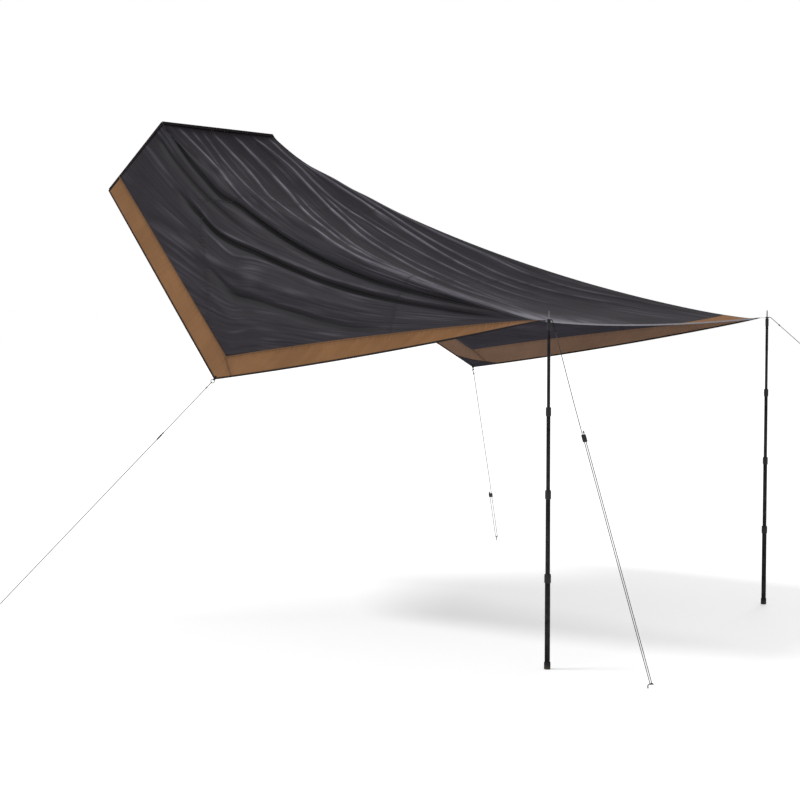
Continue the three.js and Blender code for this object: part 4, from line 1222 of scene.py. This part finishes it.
# %% Model the locks
def lock(k):
    """One twist lock, a stepped sleeve with its grip flutes."""
    middle, wide, narrow = LOCK_HEIGHTS[k], TUBE_RADII[k + 1] + 0.4, TUBE_RADII[k] + 0.4
    outer = TUBE_RADII[k + 1] + 4
    low, high = middle - 25, middle + 25
    piece = turned(f"lock_{k + 1}", [
        (wide, low), (outer - 2.2, low), (outer - 0.6, low + 3), (outer - 0.6, low + 6), (outer, low + 8),
        (outer, high - 8), (outer - 0.6, high - 6), (outer - 0.6, high - 3), (outer - 2.6, high),
        (narrow, high), (narrow, middle + 0.3), (wide, middle + 0.3), (wide, low)], hollow=True)
    chosen(piece)
    bpy.context.tool_settings.mesh_select_mode = (False, False, True)
    for face in piece.data.polygons:
        turn = round(math.degrees(math.atan2(face.center.y, face.center.x)) / (360 / ROUND) - 0.5)
        outermost = face.center.to_2d().length > (outer - 0.4) / 1000
        face.select = outermost and face.area > 3e-5 and turn % 4 < 2
    bpy.ops.object.mode_set(mode="EDIT")
    bpy.ops.mesh.inset(thickness=0.0009, depth=-0.0009)
    bpy.ops.object.mode_set(mode="OBJECT")
    return edges_eased(piece, 0.0003)


for k in range(3):
    pole[f"lock_{k + 1}"] = lock(k)
    print("lock", k + 1, "has", len(pole[f"lock_{k + 1}"].data.polygons), "faces")

# %% [markdown]
# ## Both poles in place
# Every piece of the pole is copied to each side with its own mesh, and rides on the
# body that it slides or turns with.

# %% Place the poles
POLE_PIECES = {
    "spigot": ("pole_top", stainless, "steel", "spigot"),
    "cap": ("pole_top", nylon, "black_plastic", "pole_cap"),
    "tube_1": ("pole_top", anodised, "black_tube", "tube_1"),
    "tube_2": ("pole_upper", anodised, "black_tube", "tube_2"),
    "tube_3": ("pole_lower", anodised, "black_tube", "tube_3"),
    "tube_4": ("pole_base", anodised, "black_tube", "tube_4"),
    "foot": ("pole_base", rubber, "black_plastic", "foot"),
    "lock_1": ("lock_1", nylon, "black_plastic", "collar_1"),
    "lock_2": ("lock_2", nylon, "black_plastic", "collar_2"),
    "lock_3": ("lock_3", nylon, "black_plastic", "collar_3"),
}
POLE_FOOT = np.array([POLE_TOP[0], POLE_TOP[1], GROUND])
for side in SIDES:
    for name, (body, material, slot, node) in POLE_PIECES.items():
        copy = copied(pole[name], f"{side}_pole_{name}", mirrored(POLE_FOOT, side))
        rides(copy, f"{side}_{body}", material, slot, f"{side}_{node}")
for piece in pole.values():
    bpy.data.objects.remove(piece)
print("two poles of", len(POLE_PIECES), "pieces")

# %% [markdown]
# ## Webbing tab and eyelet
# At each pole corner the cloth runs out into a webbing tab with a pressed steel eyelet.
# The tab is a disc round the hole whose inner edge is drawn back towards the cloth.

# %% Make the pole corners
def planar_uv(piece):
    """A UV map in metres from above, for flat webbing."""
    mesh = piece.data
    layer = mesh.uv_layers.get("weave") or mesh.uv_layers.new(name="weave")
    layer.active = True
    for loop in mesh.loops:
        x, y, z = mesh.vertices[loop.vertex_index].co
        layer.data[loop.index].uv = (y, x + z)


def corner_tab():
    """The webbing disc round the spigot's hole, drawn back towards the cloth."""
    bpy.ops.object.select_all(action="DESELECT")
    bpy.ops.mesh.primitive_circle_add(vertices=64, radius=0.017, fill_type="NGON")
    piece = bpy.context.object
    bpy.context.tool_settings.mesh_select_mode = (False, False, True)
    bpy.ops.object.mode_set(mode="EDIT")
    bpy.ops.mesh.inset(thickness=0.0087)
    bpy.ops.mesh.delete(type="FACE")
    bpy.ops.mesh.select_mode(type="EDGE")
    bpy.ops.mesh.select_all(action="DESELECT")
    bpy.ops.object.mode_set(mode="OBJECT")
    mesh = piece.data
    for edge in mesh.edges:
        a, b = (mesh.vertices[k].co for k in edge.vertices)
        edge.select = min(a.length, b.length) > 0.016 and max(a.x, b.x) < -0.0105
    bpy.ops.object.mode_set(mode="EDIT")
    bpy.ops.mesh.extrude_region_move(TRANSFORM_OT_translate={"value": (-0.026, 0, 0)})
    bpy.ops.transform.resize(value=(0, 1, 1), center_override=(-0.0562, 0, 0))
    bpy.ops.object.mode_set(mode="OBJECT")
    piece.name = mesh.name = "corner_tab"
    modified(piece, "SOLIDIFY", thickness=0.002, offset=0)
    edges_eased(piece, 0.0004)
    planar_uv(piece)
    return piece


tab = corner_tab()
eyelet = edges_eased(turned("eyelet", [
    (6, -1.5), (6.8, -2.3), (9, -2.1), (12, -1.5), (12, -1.3), (8, -1.3), (8, 1.3), (12, 1.3), (12, 1.5),
    (9, 2.1), (6.8, 2.3), (6, 1.5), (6, -1.5)], hollow=True), 0.0001, 60)
for side in SIDES:
    top = mirrored(POLE_TOP, side)
    rides(copied(tab, side + "_webbing_tab", top), "canopy", dark_tape, "dark_tape", side + "_corner_tab")
    rides(copied(eyelet, side + "_pressed_eyelet", top), "canopy", stainless, "steel", side + "_eyelet")
bpy.data.objects.remove(tab)
bpy.data.objects.remove(eyelet)
print("tab 26 mm wide, eyelet 24 mm across")

# %% [markdown]
# ## Sliders and pegs
# Sliders and pegs keep the CAD model's shape and get their finish. The sliders are
# nylon, and the pegs are bent from steel rod with a black oxide finish that is worn.

# %% Finish the sliders and pegs
black_oxide, tree, shader = finish("black_oxide_steel", Metallic=0.4, Roughness=0.6)
place = add(tree, "TexCoord").outputs["Object"]
worn = add(tree, "TexNoise", {"Vector": place, "Scale": 1 / 0.01, "Detail": 5}).outputs["Fac"]
stops = [(0.4, linear("#1E1C20")), (0.75, linear("#413E40"))]
colour = add(tree, "ValToRGB", [worn], stops).outputs["Color"]
tree.links.new(colour, shader.inputs["Base Color"])
for name in PEGS:
    painted(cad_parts[name + "_slider"], nylon)
    painted(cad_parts[name + "_peg"], black_oxide)
for side in SIDES:
    painted(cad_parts[side + "_wing_ring"], black_oxide)
    painted(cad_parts[side + "_wing_hook"], nylon)
print("kept nodes:", sum(not o.hide_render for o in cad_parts.values()))

# %% [markdown]
# ## Loops
# A loop of black cord is dropped over each spigot, above the eyelet, and its tail holds
# the pole's guyline. At each wing corner a strap of 14 mm webbing is folded through the
# ring and sewn to both faces of the cloth, so that the ring can swing.

# %% Make the loops
black_cord = tape("braided_cord_black", linear("#141315"), linear("#29272A"))
STRAP_WIDTH = 0.014
STRAP_AWAY = 0.0024
STRAP_BEND = 0.0034
STRAP_PLACES = (0.026, 0.018, 0.010, 0.003)


def spigot_loop(side):
    """A ring of cord round the spigot, and a tail that runs into the pole's guyline."""
    line = LINES[side + "_pole"]
    centre = mirrored(LOOP_CENTRE, side)
    out = unit(line["origin"] - centre)
    other = np.cross((0, 0, 1), out)
    turn = np.linspace(0, 2 * math.pi, 41)[:, None]
    ring = centre + 0.0085 * (np.cos(turn) * out + np.sin(turn) * other)
    tail = [on_line(line, a) for a in (0.075, 0.06, 0.045, 0.03, 0.015, 0.004)]
    tail += [centre + out * 0.019, centre + out * 0.013]
    return tube(side + "_spigot_cord", np.concatenate([tail, ring]), 0.002)


def webbing_loop(side):
    """A strap from one face of the cloth round the ring's bar and back to the other face."""
    line = LINES[side + "_wing"]
    tip = mirrored(CORNER_TIP, side)
    inward = unit(mirrored(BAND_CORNER, side) - tip)
    face = facing(np.array(CORNER_SHARE + 0.004), np.array(2.9 * SIDES[side]))
    out = line["out"] * (1 if line["out"] @ face > 0 else -1)
    width = unit(np.cross(face, inward))
    centre = [tip + inward * a + face * STRAP_AWAY for a in STRAP_PLACES]
    centre += [tip + line["down"] * (0.0023 + STRAP_BEND * math.sin(a)) + out * STRAP_BEND * math.cos(a)
               for a in np.linspace(0.2, math.pi - 0.2, 9)]
    centre += [tip + inward * a - face * STRAP_AWAY for a in reversed(STRAP_PLACES)]
    rows = [[c + width * (k - 0.5) * STRAP_WIDTH for k in np.linspace(0, 1, 5)] for c in centre]
    return woven(side + "_webbing_loop", rows, thickness=0.0012)


for side in SIDES:
    rides(spigot_loop(side), "canopy", black_cord, "dark_tape", side + "_spigot_loop")
    rides(webbing_loop(side), "canopy", dark_tape, "dark_tape")
print("loops made")

# %% [markdown]
# The flat sizes of the dark cloth and of each band, as they were cut before the canopy
# was pitched, are worked out and printed.


def flat_area(s, q):
    """The area of the smooth cloth over a grid of s and q, which is what was cut."""
    grid = plain_cloth(s, q)
    a, b = grid[1:, 1:] - grid[:-1, :-1], grid[1:, :-1] - grid[:-1, 1:]
    return float(np.linalg.norm(np.cross(a, b), axis=-1).sum() / 2)


def flat_length(s, q):
    """The length of a line on the smooth cloth."""
    return float(np.linalg.norm(np.diff(plain_cloth(s, q), axis=0), axis=-1).sum())


even = np.linspace(0, 1, 120)
dark_area = flat_area(even[:, None], 4 * even[None, :] - 2)
print("dark cloth", round(dark_area, 2), "m2")
# a band is cut as two strips and a wedge: its flat size has them laid end to end
for side in SIDES:
    s, q, _ = wedge_grid(side)
    width = max(BAND_WIDTH, flat_length(s[:, -1], q[:, -1]))
    length = flat_length(even, np.full(len(even), 2.5)) + flat_length(s[-1], q[-1])
    area = flat_area(even[:, None], 2 + even[None, :]) + flat_area(s, q)
    print(side, "band", round(area, 3), "m2, cut from", round(width, 2), "by", round(length, 2), "m")

# %% [markdown]
# ## Floor and light
# The canopy stands on a plain pale floor under soft studio light: one broad lamp from
# above and the camera's left, one from behind that skims the folds, and an even sky.
# The sky shows white to the camera only.

# %% Set the stage
bpy.ops.object.select_all(action="DESELECT")
bpy.ops.mesh.primitive_plane_add(size=120, location=(0, 0, GROUND))
floor = bpy.context.object
floor.name = "floor"
floor_paint, tree, shader = finish("floor_paint_white", Roughness=0.9)
shader.inputs["Base Color"].default_value = (0.85, 0.85, 0.85, 1)
seen = add(tree, "LightPath")
glow = add(tree, "Emission", {"Color": (1, 1, 1, 1), "Strength": 0.45})
inputs = {"Factor": seen.outputs["Is Camera Ray"], "A": (0, 0, 0, 1), "B": (1, 1, 1, 1)}
direct = add(tree, "Mix", inputs, data_type="RGBA")
tree.links.new(direct.outputs["Result"], glow.inputs["Color"])
both = add(tree, "AddShader", [shader.outputs["BSDF"], glow.outputs["Emission"]])
tree.links.new(both.outputs["Shader"], tree.nodes["Material Output"].inputs["Surface"])
floor.data.materials.append(floor_paint)

world = bpy.data.worlds.new("sky")
bpy.context.scene.world = world
world.use_nodes = True
tree = world.node_tree
seen = add(tree, "LightPath")
strength = add(tree, "MapRange", {"Value": seen.outputs["Is Camera Ray"], "To Min": 0.40, "To Max": 1.0})
tree.links.new(strength.outputs["Result"], tree.nodes["Background"].inputs["Strength"])
tree.nodes["Background"].inputs["Color"].default_value = (1, 1, 1, 1)

# Strength, and the angles in degrees: how broad the lamp is, how it leans and how it turns
LAMPS = {"key_light": (1.25, 14, 38, -50), "back_light": (0.7, 20, 42, -160)}
for name, (energy, angle, lean, turn) in LAMPS.items():
    lamp_data = bpy.data.lights.new(name, "SUN")
    lamp_data.energy = energy
    lamp_data.angle = math.radians(angle)
    lamp = bpy.data.objects.new(name, lamp_data)
    lamp.rotation_euler = (math.radians(lean), 0, math.radians(turn))
    lamp.visible_glossy = name == "key_light"
    bpy.context.scene.collection.objects.link(lamp)
bpy.context.scene.view_settings.view_transform = "Standard"
print("floor at", GROUND, "m")
